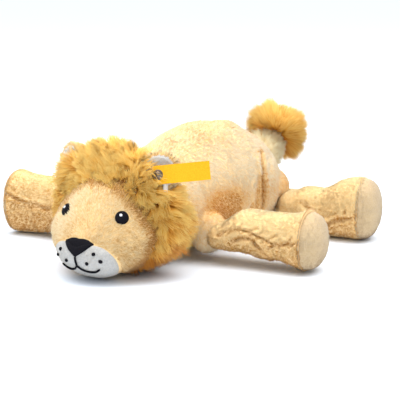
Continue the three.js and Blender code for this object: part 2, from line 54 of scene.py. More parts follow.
# Shares along the form, of its width, its lowest and its highest level, crown and chin.
TORSO_SHARES = (
    (0, 0.7, 0.08, 0.76, 0, 0),
    (0.2, 0.84, 0.02, 0.88, 0, 0),
    (0.45, 0.96, 0, 0.99, 0, 0),
    (0.62, 1, 0, 1, 0.05, 0),
    (0.8, 0.97, 0, 0.9, 0.12, 0),
    (1, 0.86, 0, 0.68, 0.2, 0),
)
NECK = {"set_back": 0.014, "lift": 0.039, "radius": 0.035, "half_width": 0.040}
HEAD = {"length": 0.082, "width": 0.091, "height": 0.082, "caps": (0.024, 0.020), "power": 2.2}
HEAD_FORWARD = 0.010
HEAD_SHARES = (
    (0, 0.5, 0.02, 0.48, 0.3, 0.1),
    (0.13, 0.72, 0, 0.6, 0.4, 0.2),
    (0.27, 0.88, 0, 0.75, 0.42, 0.2),
    (0.45, 1, 0, 0.88, 0.28, 0.12),
    (0.7, 0.98, 0.04, 0.93, 0, 0),
    (1, 0.82, 0.08, 0.8, 0, 0),
)
MANE = {"length": 0.044, "width": 0.114, "height": 0.092, "caps": (0.014, 0.016), "power": 2.1}
MANE_FORWARD = 0.012
MANE_SHARES = (
    (0, 0.84, 0, 0.76, 0.1, 0),
    (0.35, 0.98, 0, 1, 0.2, 0),
    (0.7, 1, 0, 0.88, 0.2, 0),
    (1, 0.88, 0, 0.66, 0.2, 0),
)
LEG = {"stand_off": 0.001, "sole_cap": 0.005, "power": 2.2}
FORELEG = {"reach": 0.076, "width": 0.043, "height": 0.042, "turn": 6}
FAR_FORELEG = {"reach": 0.092, "width": 0.042, "height": 0.049, "turn": -4}
HINDLEG = {"reach": 0.071, "width": 0.042, "height": 0.047, "turn": 8}
FORELEG_PLACE_SHARE = 0.175
HINDLEG_PLACE_SHARE = 0.85
# Shares along the leg, of its width, its height and the level of its middle.
FORELEG_SHARES = (
    (0, 0.86, 0.5, 0.45),
    (0.18, 0.88, 0.82, 0.51),
    (0.45, 0.88, 0.88, 0.5),
    (0.75, 0.91, 0.96, 0),
    (1, 1.02, 1.06, 0),
)
HINDLEG_SHARES = (
    (0, 0.9, 0.48, 0.4),
    (0.2, 0.98, 0.8, 0.42),
    (0.38, 0.86, 0.78, 0),
    (0.6, 0.98, 0.98, 0),
    (1, 1.04, 1, 0),
)
SHOULDER = {"inset": 0.012, "size": (0.014, 0.017, 0.017), "lift": 0.020}
HIP = {"place": (0.0310, 0.030, 0.0365), "size": (0.0185, 0.016, 0.0155)}
TAIL = {"radius": 0.0075, "root_inset": 0.004, "lift": 0.043, "run": 0.038, "rise": 0.020, "sag": 0.004}
TUFT = {"run": 0.042, "rise": 0.028, "sideways": 0.002, "core": 0.0085, "core_shift": (0.0035, 0, -0.0015)}

TORSO_FRONT_Y = -TORSO_FRONT_SHARE * TORSO["length"]
NECK_PLACE = Vector((0, TORSO_FRONT_Y + NECK["set_back"], NECK["lift"]))
HEAD_BACK_Y = NECK_PLACE.y - HEAD_FORWARD
HEAD_NOSE_Y = HEAD_BACK_Y - HEAD["length"]
MANE_BACK_Y = HEAD_BACK_Y - MANE_FORWARD
TAIL_ROOT = Vector((0, TORSO_FRONT_Y + TORSO["length"] - TAIL["root_inset"], TAIL["lift"]))

# How deep each skin lies under the outside that its pile reaches.
PILE_DEPTH = {"torso": 0.0015, "head": 0.0018, "mane": 0.0078, "leg": 0.0013, "tail": 0.0010}
FLOOR_LEVEL = 0.00015
UNDERSIDE = {"level": 0.004, "facing": -0.6, "pile_share": 0.12}
CAP_RINGS = 14
# Rings and sides of each lofted skin.
SKIN_STEPS = {"torso": (70, 96), "head": (90, 128), "mane": (70, 96), "leg": (110, 128)}
ELLIPSOID_STEPS = 48
REMESH = {"voxel": 0.0013, "rounds": 6, "factor": 0.6}

# Folds as marks of (share along the form, degrees up from the side), depth, width and lip.
TORSO_FOLDS = (
    (((0.65, 32), (0.6, 16), (0.589, 3), (0.595, -8), (0.616, -17), (0.62, -34)), 0.0085, 0.0021, 0.0018),
    (((0.56, 8), (0.55, -2), (0.555, -16), (0.57, -30)), 0.0016, 0.0036, 0),
    (((0.69, 22), (0.7, 4), (0.71, -12), (0.7, -26)), -0.0020, 0.0060, 0),
    (((0.5, -14), (0.53, -30), (0.5, -52)), 0.0018, 0.0022, 0.0006),
    (((0.6, 150), (0.61, 172), (0.6, 214)), 0.0040, 0.0019, 0.0010),
)
# Each swell's place, reach and height.
TORSO_SWELLS = (((0.014, -0.004, 0.0890), 0.0110, 0.0028), ((0.024, 0.014, 0.0820), 0.0080, -0.0012))
HIND_FOLD = (((0.3, 30), (0.42, 10), (0.44, -30)), 0.0018, 0.0018, 0.0006)
LEG_FOLDS = {
    "foreleg_left": (
        (((0.15, 22), (0.3, 22), (0.43, 18), (0.58, 6), (0.66, 2), (0.8, 8), (0.94, 12)),
         0.0024, 0.0011, 0.0007),
        (((0.25, -8), (0.36, 2), (0.45, 3), (0.53, -14), (0.59, -45), (0.61, -84)), 0.0030, 0.0015, 0.0009),
        (((0.68, -8), (0.72, -40), (0.71, -70)), 0.0014, 0.0014, 0.0005),
    ),
    "foreleg_right": (
        (((0.2, 4), (0.56, 4), (0.74, 11), (0.95, 20)), 0.0022, 0.0012, 0.0008),
        (((0.4, -10), (0.55, -30), (0.6, -60)), 0.0016, 0.0015, 0.0005),
        (((0.7, -8), (0.71, -38), (0.7, -75)), 0.0036, 0.0016, 0.0008),
        (((0.5, -2), (0.66, 2), (0.8, 5)), 0.0016, 0.0012, 0.0005),
    ),
    "hindleg_left": (
        (((0.42, -34), (0.55, -22), (0.63, -15), (0.75, -9), (0.9, -4)), 0.0024, 0.0013, 0.0009),
        HIND_FOLD,
    ),
    "hindleg_right": ((((0.42, -30), (0.63, -14), (0.9, -4)), 0.0022, 0.0014, 0.0008), HIND_FOLD),
}
CREASE = {"lip_at": 2.2, "waver_share": 0.4}
SEAM_PUCKERS = {"foreleg_left": 30, "foreleg_right": 26, "hindleg_left": 22, "hindleg_right": 22}
PUCKER = {"shift": 0.35, "shares": (0.01, 0.10), "degrees": (5, 14), "depths": (0.0006, 0.0014)}
PUCKER_SIZES = {"width": 0.0010, "lip": 0.0003, "back": -1.3, "every": 3}
# How far the filled leg rises over its form: distance along it, reach and height,
# then the same for its underside.
HIND_RISES = (((-0.002, 0.009, 0.0050), (0.026, 0.008, 0.0026), (0.062, 0.014, 0.0016)), ())
LEG_RISES = {
    "foreleg_left": (((0.074, 0.020, 0.0030),), ((0.019, 0.013, 0.0042), (0.048, 0.013, 0.0046))),
    "foreleg_right": (((0.060, 0.016, 0.0010),), ()),
    "hindleg_left": HIND_RISES,
    "hindleg_right": HIND_RISES,
}
RISE_FACING = 0.15
GATHERS = {
    "depth": 0.0010, "level": 0.35, "fine_share": 0.5, "stretch": (1, 1, 1.5), "facing": (0.55, 0.20),
    "levels": (0.032, 0.022),
}
LUMP_HEIGHTS = {"torso": 0.0008, "head": 0.0005, "leg": 0.0006}
RIM = {
    "overhang": 0.0006, "groove": 0.0007, "groove_reach": 0.0011, "swell": 0.0003, "swell_at": -0.0034,
    "swell_reach": 0.0022, "pile_past": 0.0005, "pile_facing": 0.6,
}
SOLE_DEPTHS = {
    "foreleg_left": 0.0120, "foreleg_right": 0.0075,
    "hindleg_left": 0.0120, "hindleg_right": 0.0120,
}
SOLE_CROWNS = {
    "foreleg_left": 0.0020, "foreleg_right": 0,
    "hindleg_left": 0.0024, "hindleg_right": 0.0024,
}
SOLE = {"inset": 0.0005, "overlap": 0.0003, "power": 2.3, "sides": 96, "rings": 26, "ease": 4, "tuck": 0.0012}
SOLE_MIDDLE_SHARE = 0.002
SOLE_TUCK_SHARE = 0.95

# The face, the ears and what hangs on one of them.
EYE = {
    "radius": 0.0048, "turn": 40, "tilt": 25, "dimple": 0.0010, "dimple_width": 0.0075, "shine": 0.0011,
    "shine_up": 0.0012, "shine_in": 0.0008, "corners": 40, "shine_corners": 16,
}
# Shares of the head's half width, its length from the nose and its height.
EYE_SHARES = (0.53, 0.23, 0.555)
EAR_SHARES = (0.8, 0.55, 0.89)
BARE_EYE_SHARE = 0.98
# Shares of the head's half width and of its height, from the middle of the top to the middle of the bottom.
NOSE_SHARES = (
    (0, 0.379), (0.07, 0.383), (0.14, 0.378), (0.2, 0.364), (0.27, 0.348), (0.14, 0.285), (0, 0.235),
)
MUZZLE_SHARES = (
    (0, 0.3), (0.2, 0.348), (0.4, 0.33), (0.51, 0.285), (0.565, 0.215), (0.525, 0.13), (0.395, 0.058),
    (0.2, 0.022), (0, 0.018),
)
MOUTH_STEM_SHARES = ((0, 0.245), (0, 0.165))
MOUTH_CURVE_SHARES = ((0, 0.168), (0.012, 0.158), (0.07, 0.13), (0.17, 0.115), (0.265, 0.121), (0.342, 0.150))
WHISKER_SHARES = ((0.3, 0.278), (0.185, 0.195), (0.385, 0.22))
SNOUT = {"across": 0.015, "up": 0.019, "reach": 0.0110, "push": 0.0030, "fade": (0.030, 0.020)}
MOUTH = {
    "radius": 0.0007, "stem_steps": 20, "curve_steps": 50, "ease": 8, "sides": 10, "end": 0.35,
    "taper": 14,
}
TUBE_GUIDE = (0.1, 0.9, 0.3)
WHISKER = {"radius": 0.0013, "corners": 20}
# How far off a ray starts, and how far on a ray that misses the skin looks for it.
RAY_FROM = {"front": 0.050, "whisker": 0.020, "circle": 0.030}
MISSED_REACH = 0.060
PAD_MIDDLE_SHARE = 0.001
# Corners of each outline, and how often they are eased.
OUTLINE_STEPS = {"muzzle": (120, 10), "nose": (96, 2)}
# Pads: how far each rises, how deep its rim sinks, its rings, and how square its edge is.
PADS = {
    "muzzle": (0.0013, 0.0008, 26, 8.0),
    "nose": (0.0019, 0.0008, 12, 5.0),
    "whisker": (0.0013, 0.0006, 6, 2.5),
    "eye": (0.0031, 0.0012, 14, 2.4),
    "shine": (0.0004, 0.0004, 5, 3.0),
}
EAR = {"radius": 0.013, "lining": 0.0105, "turn": 24, "lean": 12, "wobble": 0.02}
RIM_SHARE = 0.97
# Profiles turned about the ear's Y: radius and place along it.
EAR_SHELL = (
    (0.0001, 0.0006), (0.006, 0.0009), (0.0092, 0.0022), (0.0108, 0.0030), (0.0118, 0.0026), (0.0122, 0.0012),
    (0.0119, -0.0004), (0.0108, -0.0018), (0.008, -0.0028), (0.004, -0.0032), (0.0001, -0.0033),
)
EAR_LINING = (
    (0.0001, 0.0012), (0.004, 0.0013), (0.007, 0.0018), (0.009, 0.0029), (0.0101, 0.0034), (0.0104, 0.0028),
    (0.0100, 0.0018), (0.006, 0.0006), (0.0001, 0.0004),
)
RIVET_HEAD = (
    (0.0001, 0.0017), (0.0012, 0.0016), (0.0020, 0.0012), (0.0024, 0.0008), (0.0028, 0.0009),
    (0.0033, 0.0010), (0.0036, 0.0006), (0.0036, 0.0001), (0.0030, 0), (0.0001, 0),
)
WASHER = (
    (0.0011, 0), (0.0030, 0), (0.0032, -0.0002), (0.0031, -0.0006), (0.0020, -0.0008), (0.0011, -0.0008),
)
LATHE_SIDES = 64
RIVET = {"radius": 0.0036, "front": 0.0060, "washer_back": -0.0034, "sides": 48}
TAG = {
    "length": 0.038, "width": 0.0125, "thickness": 0.0005, "hem": 0.0034, "rise": 7, "drop": 0.0024,
    "front": 0.0052,
}
LABEL = {"length": 0.006, "width": 0.0032, "tuck": 0.0004}
RIBBON_STEPS = (80, 24)
# How high a ribbon waves, then its wave's turns, start, dent, the dent's place and width, and how it slants.
WAVE_HEIGHTS = {"tag": 0.0015, "label": 0.0004}
WAVE_SHARES = (5.2, 0.6, 0.6, 0.12, 0.08, 0.4)

# Uneven fields: how coarse each one is, and its seed.
SEED = 20
GRAINS = {
    "comb": (0.009, 25), "length": (0.006, 29), "mottle": (0.005, 23), "patches": (0.016, 24),
    "crease": (0.007, 50), "torso": (0.022, 60), "head": (0.016, 61), "face_comb": (0.014, 70),
    "face": (0.0045, 71), "face_patches": (0.011, 72), "leg": (0.022, 80), "gathers": (0.0042, 82),
    "fine_gathers": (0.0021, 83), "leg_comb": (0.012, 90), "mane_comb": (0.0042, 100), "mane": (0.0044, 101),
    "ear": (0.006, 110), "lining": (0.006, 111), "tuft_comb": (0.006, 115), "tuft": (0.5, 116),
}
HASH = (73856093, 19349663, 83492791, 2654435761, 1274126177)
HASH_SHIFTS = (13, 16)
HASH_MASK = 0xFFFF

# Piles: strands for each square metre, their length and width, how upright they stand, how many
# make a clump and how far they are drawn into it, how unevenly they lie, how mottled their tone is,
# how much painted shade darkens the strands between clumps, how varied their tone is, and whether they bend.
Pile = namedtuple(
    "Pile", "look slot density length width lift clump pull rough mottle gaps vary bent",
    defaults=(0.5, 18, 0.45, 0.25, 1.0, 0.16, 0.15, False))
PILES = {
    "torso": Pile("plush", "plush", 3.2e6, 0.0026, 0.0005, 0.4, 14, 0.15, mottle=0.25, gaps=0.08, vary=0.08),
    "head": Pile("face", "plush", 3.6e6, 0.0032, 0.0005, 0.45, 14, 0.35, mottle=0.7, gaps=0.10),
    "muzzle": Pile("muzzle", "muzzle", 6.0e6, 0.0011, 0.0004, clump=8, pull=0.2),
    "mane": Pile("mane", "mane", 4.4e6, 0.0104, 0.00052, 0.52, 20, 0.5, 0.7, 0.6, bent=True),
    "ear": Pile("ear", "mane", 5.0e6, 0.0042, 0.0006, 0.4, 16, 0.4, mottle=0.3, gaps=0.05),
    "lining": Pile("lining", "lining", 6.0e6, 0.0020, 0.00045, clump=10, pull=0.3),
    "leg": Pile("leg", "plush", 3.8e6, 0.0022, 0.00045, 0.45, 12, 0.3, mottle=0.8, gaps=0.15),
    "sole": Pile("sole", "sole", 4.0e6, 0.0015, 0.00045, 0.45, 10, 0.2, mottle=0.4),
    "tail": Pile("leg", "plush", 11.0e6, 0.0112, 0.0005, 0.74, pull=0.55, bent=True),
    "tuft": Pile("mane", "mane", 26.0e6, 0.0185, 0.00055, 0.82, 30, 0.4, 0.2, gaps=0.24, bent=True),
}
STRAND = {
    "sink": 0.0006, "stray": 0.12, "uneven": 0.18, "most_uneven": 2, "drift": 0.15, "turn_out": 1.3,
    "bend": 0.5, "bend_width": 0.85, "up": 0.8, "up_along": 0.35, "up_stray": 0.1,
}
PIECE_LIMITS = {False: 45000, True: 19000}
# Strand tone: its middle, where the painted shade between clumps begins and its most, the weights of mottle
# and patches, and the least and most tone.
TONE = {
    "middle": 0.5, "gap_from": 0.5, "gap_most": 1.2, "mottle": 0.14, "patches": 0.12,
    "least": 0.02, "most": 0.98,
}
COMBS = {
    "torso": (0.2, 0.6, -1), "muzzle": (0, -0.2, -1), "leg": (0, 0, -0.5), "sole": (0, 0, -1),
    "tail": (0, 1, 0.5),
}
COMB_SWIRLS = {"head": 0.5, "leg": 0.35, "mane": 1.3, "ear": 0.3, "lining": 0.2, "tuft": 0.3}
FACE_COMB_LEVEL = 0.030

# Tone that is added place by place, from dark below 0 to light above it: mostly painted light and
# shade on tops, far sides, low parts, undersides, folds, seams and rims, with random patches besides.
# The torso's top is painted darker where it faces up, a painted shade that holds back the light from above.
TORSO_TONE = {"base": 0.14, "top": -0.32}
LOW_SHADE = {"level": 0.050, "low": -0.30, "under": -0.14}
BELLY_SHADE = {
    "levels": (0.060, 0.038), "deepest": 0.72, "middle_y": -0.050, "reach_y": 0.019, "open_share": 0.4,
    "shoulder_x": 0.038, "shoulder_edge": 0.005, "shoulder_share": 0.7,
}
FOLD_SHADE = {"deepest": 0.85, "full_depth": 0.0045}
# Random patches on the face, a base lift, painted light that makes the far side paler, and the share of the
# low painted shade it takes.
FACE_TONE = {
    "patches": 0.10, "broad_patches": 0.08, "base": 0.06, "far": 0.16, "far_x": -0.030, "low_share": 0.8,
}
SEAM_SHADE = {"reach": 0.0038, "deepest": 0.48, "nape_shares": (0.1, 0.6)}
# Painted light and shade on the legs: the far leg darker, tops lighter, low parts and undersides darker.
LEG_TONE = {
    "base": 0.12, "far": -0.32, "top": 0.14, "top_power": 1.5, "level": 0.030, "low": -0.55, "under": -0.20,
    "under_from": 0.3,
}
RIM_SHADE = {"reach": 0.0013, "deepest": 0.15}
# Painted light and shade on the soles: lighter up high and darker low down.
SOLE_TONE = {"level": 0.020, "reach": 0.040, "range": (-0.3, 0.5)}
# Painted shade on the mane's low part, with random unevenness that is stronger on the near side.
MANE_TONE = {"base": 0.20, "low": -0.90, "level": 0.050, "uneven": 0.06, "near_uneven": 0.26, "near_x": 0.035}
EVEN_TONES = {"ear": 0.12, "tail": 0.30, "tuft": 0.07}

# How the mane lies and how long it is, as shares, from its far side to its near side, on its crown
# and at the ears.
MANE_COMB = {"level": 0.042, "away": 0.8, "droop": -0.7, "back": 0.15, "near_back": 0.3, "near_x": 0.025}
MANE_SIDE_SHARES = ((0, 0.16, 0.4, 0.8, 1), (0.55, 0.65, 0.95, 1, 1.15))
MANE_SIDES_X = (-0.045, 0.045)
CROWN = {"levels": (0.050, 0.080), "front_share": 0.4, "front_reach": 0.012, "longer_share": 0.35}
TAGGED_EAR = {"behind": -0.002, "beside": 0.0040, "length_share": 0.4}
FAR_EAR = {"front": 0.008, "reach": 0.015, "beside": 0.002, "length_share": 1.15}
TAIL_STEPS = 40
TAIL_CAP_SHARE = 0.2
TAIL_END_SHARE = 0.02
STEM = {"from": -0.7, "to": -0.5, "comb": 0.8}
TUFT_ACROSS = np.array((0.848, 0.530, 0))
TUFT_UNEVEN_SHARE = 0.16
# Turn up from that way across and how wide, in degrees, and how much longer or shorter the hair is there.
TUFT_SHARES = ((72, 30, -0.27), (112, 9, 0.22))

# Pile colours: sRGB levels at a strand's root, middle and tip, then what a dark and a light strand
# multiply them by. The darker roots are partly painted shade among the strands, and the dark and light
# factors carry painted light and shade as well as each strand's own tone.
PILE_LOOKS = {
    "plush": ((244, 212, 158), (252, 230, 190), (254, 239, 210), (0.90, 0.53, 0.15), (1.01, 1.03, 1.07)),
    "leg": ((234, 176, 94), (250, 215, 145), (254, 235, 186), (0.84, 0.57, 0.25), (1.03, 1.12, 1.36)),
    "face": ((224, 170, 96), (246, 211, 150), (254, 235, 192), (0.76, 0.54, 0.27), (1.05, 1.14, 1.34)),
    "mane": ((232, 132, 34), (255, 186, 72), (255, 216, 122), (0.78, 0.48, 0.19), (1.06, 1.12, 1.30)),
    "ear": ((226, 172, 98), (246, 208, 142), (253, 230, 184), (0.8, 0.7, 0.55), (1.05, 1.08, 1.12)),
    "sole": ((184, 154, 114), (200, 175, 139), (214, 194, 164), (0.84, 0.72, 0.56), (1.16, 1.20, 1.30)),
    "muzzle": ((176, 165, 147), (207, 196, 177), (228, 218, 201), (0.80, 0.80, 0.80), (1.06, 1.06, 1.06)),
    "lining": ((244, 242, 238), (252, 251, 248), (255, 255, 254), (0.92, 0.91, 0.90), (1.0, 1.0, 1.0)),
}
HEIGHT_STOPS = (0, 0.45, 1)
# The deep stop darkens the dark factor further, for the deepest painted shade in folds, under the belly and
# between clumps.
DEEP_SHARES = (0.68, 0.52, 0.36)
TONE_STOPS = (0, 0.1, 0.5, 1)
PILE_SHEEN = {"Roughness": 0.9, "Specular IOR Level": 0.15, "Sheen Weight": 0.10, "Sheen Roughness": 0.6}
# Cloth colours: low and high sRGB levels, then the grain's scale, its relief, roughness, sheen,
# specular and metal.
CLOTH_LOOKS = {
    "plush_skin": ((238, 196, 132), (248, 216, 160)),
    # The mane's dark brown skin, also on the tuft's core, is painted shade deep among the long hair.
    "mane_skin": ((150, 92, 34), (176, 112, 46)),
    "ear_skin": ((226, 176, 104), (240, 196, 128)),
    "sole_skin": ((196, 168, 126), (208, 184, 146)),
    "muzzle_skin": ((176, 174, 170), (198, 196, 191)),
    "lining_skin": ((236, 230, 218), (248, 244, 236)),
    "black_thread": ((10, 9, 13), (24, 22, 29), 2500, 0.0002, 0.85, 0.0, 0.12),
    "white_thread": ((226, 226, 228), (250, 250, 250), 2500, 0.0002, 0.6, 0.0, 0.2),
    "tag_ribbon": ((232, 164, 18), (244, 186, 34), 1600, 0.0002, 0.75, 0.0, 0.2),
    "label_ribbon": ((226, 224, 218), (246, 244, 240), 1600, 0.0002, 0.8, 0.0, 0.2),
    "rivet_metal": ((96, 84, 74), (140, 126, 112), 700, 0.00005, 0.32, 0.0, 0.5, 1),
}
CLOTH_STOPS = (0.3, 0.7)
CLOTH_DETAIL = 3

# The studio and the photograph's camera.
FLOOR_COLOR = (0.82, 0.88, 0.96)
FLOOR_REACH = 20
FLOOR_ROUGHNESS = 0.9
DOME_LOW = (0.26, 0.265, 0.28)
DOME_HIGH = (1.0, 1.0, 1.0)
DOME_STOPS = (0, 0.25, 1)
DOME_STRENGTH = 1.75
KEYS = (
    {"name": "key_left", "place": (-0.35, -0.45, 1.5), "size": 1.0, "power": 14},
    {"name": "key_right", "place": (0.55, 0.25, 1.3), "size": 1.0, "power": 12},
)
CAMERA = {
    "azimuth": 32, "elevation": 12, "distance": 0.850, "lens": 99, "sensor": 36, "clip": (0.01, 100),
    "target": (0, -0.020, 0.030),
}

rng = np.random.default_rng(SEED)


def share_of(value, start, stop):
    """How far values are on the way from a start to a stop, from 0 to 1."""
    return np.clip((value - start) / (stop - start), 0, 1)


def bell(off, reach):
    return np.exp(-((off / reach) ** 2))


def unit(v):
    return v / np.maximum(np.linalg.norm(v, axis=-1, keepdims=True), TINY)


def smooth_values(knots, values, at):
    """Values at places along a smooth curve through the knots, level past its ends."""
    knots = np.asarray(knots, float)
    values = np.asarray(values, float).reshape(len(knots), -1)
    slopes = np.gradient(values, knots, axis=0)
    at = np.clip(at, knots[0], knots[-1])
    i = np.clip(np.searchsorted(knots, at, side="right") - 1, 0, len(knots) - 2)
    span = (knots[i + 1] - knots[i])[:, None]
    t = (at[:, None] - knots[i][:, None]) / span
    return (
        (2 * t**3 - 3 * t**2 + 1) * values[i]
        + (t**3 - 2 * t**2 + t) * span * slopes[i]
        + (3 * t**2 - 2 * t**3) * values[i + 1]
        + (t**3 - t**2) * span * slopes[i + 1]
    )


def lying_form(size, shares, from_y):
    """A form along +Y, from shares of its sizes."""
    knots, rows = [], []
    for along, width, low, high, crown, chin in shares:
        bottom = low * (size["height"] + FLOOR_SINK) - FLOOR_SINK
        top = high * (size["height"] + FLOOR_SINK) - FLOOR_SINK
        knots.append(along * size["length"])
        rows.append((0, 0, (bottom + top) / 2, width * size["width"] / 2, (top - bottom) / 2, crown, chin))
    return {
        "knots": knots, "rows": rows, "start": Vector((0, from_y, 0)), "heading": Vector((0, 1, 0)),
        "across": Vector((1, 0, 0)), "caps": size["caps"], "power": size["power"],
    }


def leg_form(size, shares, place_share, side):
    """A leg's form, with its hinge, direction and root sizes."""
    turn = math.radians(size["turn"])
    root_radius = shares[0][2] * size["height"] / 2
    hinge = Vector((
        side * (TORSO["width"] / 2 + LEG["stand_off"]),
        TORSO_FRONT_Y + place_share * TORSO["length"],
        shares[0][3] * size["height"],
    ))
    knots, rows = [-root_radius], [(0, 0, hinge.z, shares[0][1] * size["width"] / 2, root_radius, 0, 0)]
    for i, (along, width, high, lift) in enumerate(shares):
        half = high * size["height"] / 2
        level = hinge.z if i == 0 else max(half - FLOOR_SINK, lift * size["height"])
        knots.append(along * size["reach"])
        rows.append((0, 0, level, width * size["width"] / 2, half, 0, 0))
    return {
        "knots": knots, "rows": rows, "start": Vector((hinge.x, hinge.y, 0)),
        "heading": Vector((side * math.cos(turn), math.sin(turn), 0)), "across": Vector((0, -side, 0)),
        "caps": (root_radius, LEG["sole_cap"]), "power": LEG["power"], "hinge": hinge, "reach": size["reach"],
        "side": side,
    }


def outside(form, at, angle, grow=0.0):
    """Places on a form's outside, at distances along it and angles round it (0 is across, a quarter up)."""
    first, last = form["knots"][0], form["knots"][-1]
    at, angle = np.broadcast_arrays(np.asarray(at, float), np.asarray(angle, float))
    rows = smooth_values(form["knots"], form["rows"], at.ravel()).reshape(*at.shape, -1)
    heading = np.array(form["heading"])
    across = np.array(form["across"]) - heading * np.dot(form["across"], heading)
    across /= np.linalg.norm(across)
    up = np.cross(across, heading)
    middle = np.array(form["start"]) + at[..., None] * heading + rows[..., :3]

    def shrink(distance, cap):
        return np.sqrt(np.clip(1 - np.clip(1 - distance / cap, 0, 1) ** 2, 0, 1))

    def rounded(value):
        return np.sign(value) * np.abs(value) ** (2 / form["power"])

    small = np.minimum(
        shrink(at - first + grow, form["caps"][0] + grow), shrink(last + grow - at, form["caps"][1] + grow))
    sine = np.sin(angle)
    waist = 1 - rows[..., 5] * np.clip(sine, 0, None) - rows[..., 6] * np.clip(-sine, 0, None)
    a = (rows[..., 3] * waist + grow) * small * rounded(np.cos(angle))
    b = (rows[..., 4] + grow) * small * rounded(sine)
    return middle + a[..., None] * across + b[..., None] * up


def line_on(form, marks, grow=0.0, steps=8):
    """A line over a form's outside, through marks of (share along it, degrees round it)."""
    marks = np.array(marks, float)
    span = np.linspace(0, len(marks) - 1, steps * (len(marks) - 1) + 1)
    share = np.interp(span, np.arange(len(marks)), marks[:, 0])
    degrees = np.interp(span, np.arange(len(marks)), marks[:, 1])
    first, last = form["knots"][0], form["knots"][-1]
    return outside(form, first + share * (last - first), np.radians(degrees), grow)


def grid_faces(rings, sides, first=0):
    faces = []
    for i in range(rings - 1):
        for j in range(sides):
            k = (j + 1) % sides
            faces.append((first + i * sides + j, first + i * sides + k,
                          first + (i + 1) * sides + k, first + (i + 1) * sides + j))
    return faces


def mesh_of(name, verts, faces):
    mesh = bpy.data.meshes.new(name)
    mesh.from_pydata([tuple(v) for v in verts], [], faces)
    mesh.update()
    return mesh


def object_of(name, data):
    made = bpy.data.objects.new(name, data)
    bpy.context.scene.collection.objects.link(made)
    return made


def smoothed(mesh):
    mesh.polygons.foreach_set("use_smooth", np.ones(len(mesh.polygons), bool))


def outward(mesh, seen_along=None):
    """Turns a closed mesh's faces outwards, then an open one's against the way it is looked at."""
    work = bmesh.new()
    work.from_mesh(mesh)
    bmesh.ops.remove_doubles(work, verts=work.verts, dist=SAME_PLACE)
    bmesh.ops.recalc_face_normals(work, faces=work.faces)
    if work.calc_volume(signed=True) < 0:
        bmesh.ops.reverse_faces(work, faces=work.faces)
    if seen_along is not None:
        way = sum((f.normal * f.calc_area() for f in work.faces), Vector())
        if way.dot(Vector(seen_along)) > 0:
            bmesh.ops.reverse_faces(work, faces=work.faces)
    work.to_mesh(mesh)
    work.free()
    return mesh


def lofted_mesh(kind, form):
    """A closed skin as deep under a form as its pile is, with one corner at each tip."""
    grow = -PILE_DEPTH[kind]
    rings, sides = SKIN_STEPS[kind]
    first, last = form["knots"][0], form["knots"][-1]
    turn = np.linspace(0, math.pi / 2, CAP_RINGS)
    body = np.linspace(first + form["caps"][0], last - form["caps"][1], rings)[1:-1]
    start = first - grow + (form["caps"][0] + grow) * (1 - np.cos(turn))
    end = last + grow - (form["caps"][1] + grow) * (1 - np.cos(turn))
    at = np.concatenate([start, body, end[::-1]])
    angle = np.linspace(0, 2 * math.pi, sides, endpoint=False)
    grid = outside(form, at[:, None], angle[None, :], grow)
    count = len(grid) - 2
    faces = grid_faces(count, sides)
    first_tip, last_tip = count * sides, count * sides + 1
    for j in range(sides):
        k = (j + 1) % sides
        faces.append((first_tip, k, j))
        faces.append((last_tip, (count - 1) * sides + j, (count - 1) * sides + k))
    return outward(mesh_of(kind, np.concatenate([grid[1:-1].reshape(-1, 3), grid[[0, -1], 0]]), faces))


def ellipsoid(place, radii):
    """A closed round form, its faces put in order because Blender makes them in any order."""
    work = bmesh.new()
    bmesh.ops.create_uvsphere(work, u_segments=ELLIPSOID_STEPS, v_segments=ELLIPSOID_STEPS // 2, radius=1)
    matrix = Matrix.Translation(place) @ Matrix.Diagonal((*radii, 1))
    bmesh.ops.transform(work, matrix=matrix, verts=work.verts)
    work.verts.index_update()
    faces = []
    for face in work.faces:
        corners = [vert.index for vert in face.verts]
        lowest = corners.index(min(corners))
        faces.append(tuple(corners[lowest:] + corners[:lowest]))
    mesh = mesh_of("part", [vert.co for vert in work.verts], sorted(faces))
    work.free()
    return mesh


def fused(meshes):
    """One even skin round several overlapping closed meshes."""
    work = bmesh.new()
    for mesh in meshes:
        work.from_mesh(mesh)
    joined = bpy.data.meshes.new("joined")
    work.to_mesh(joined)
    work.free()
    source = object_of("joined", joined)
    remesh = source.modifiers.new("remesh", "REMESH")
    remesh.mode = "VOXEL"
    remesh.voxel_size = REMESH["voxel"]
    smooth = source.modifiers.new("smooth", "SMOOTH")
    smooth.iterations = REMESH["rounds"]
    smooth.factor = REMESH["factor"]
    bpy.context.view_layer.update()
    evaluated = source.evaluated_get(bpy.context.evaluated_depsgraph_get())
    mesh = bpy.data.meshes.new_from_object(evaluated)
    bpy.data.objects.remove(source)
    return mesh


def places_of(mesh, kind="co"):
    """A mesh's places, or with "normal" the ways it faces there."""
    values = np.empty(len(mesh.vertices) * 3, np.float32)
    mesh.vertices.foreach_get(kind, values)
    return values.reshape(-1, 3).astype(float)


def set_places(mesh, co):
    mesh.vertices.foreach_set("co", co.astype(np.float32).ravel())
    mesh.update()


def lifted(mesh, height_of):
    """Moves a skin out by as much as a function of its places and normals says."""
    co, no = places_of(mesh), places_of(mesh, "normal")
    set_places(mesh, co + no * height_of(co, no)[:, None])


def noise(points, grain, more_seed=0):
    """Smooth noise from -1 to 1, one number for each place."""
    scale, seed = GRAINS[grain]
    cell = np.floor(points / scale).astype(np.int64)
    f = points / scale - cell
    f = f * f * (3 - 2 * f)
    total = np.zeros(len(points))
    for corner in product((0, 1), repeat=3):
        x, y, z = (cell + corner).T
        h = (x * HASH[0]) ^ (y * HASH[1]) ^ (z * HASH[2]) ^ ((seed + more_seed) * HASH[3])
        h = (h ^ (h >> HASH_SHIFTS[0])) * HASH[4]
        h = (h ^ (h >> HASH_SHIFTS[1])) & HASH_MASK
        total += np.where(corner, f, 1 - f).prod(1) * (2 * h / HASH_MASK - 1)
    return total


def swirl(points, grain):
    return np.stack([noise(points, grain, k) for k in range(3)], axis=1)


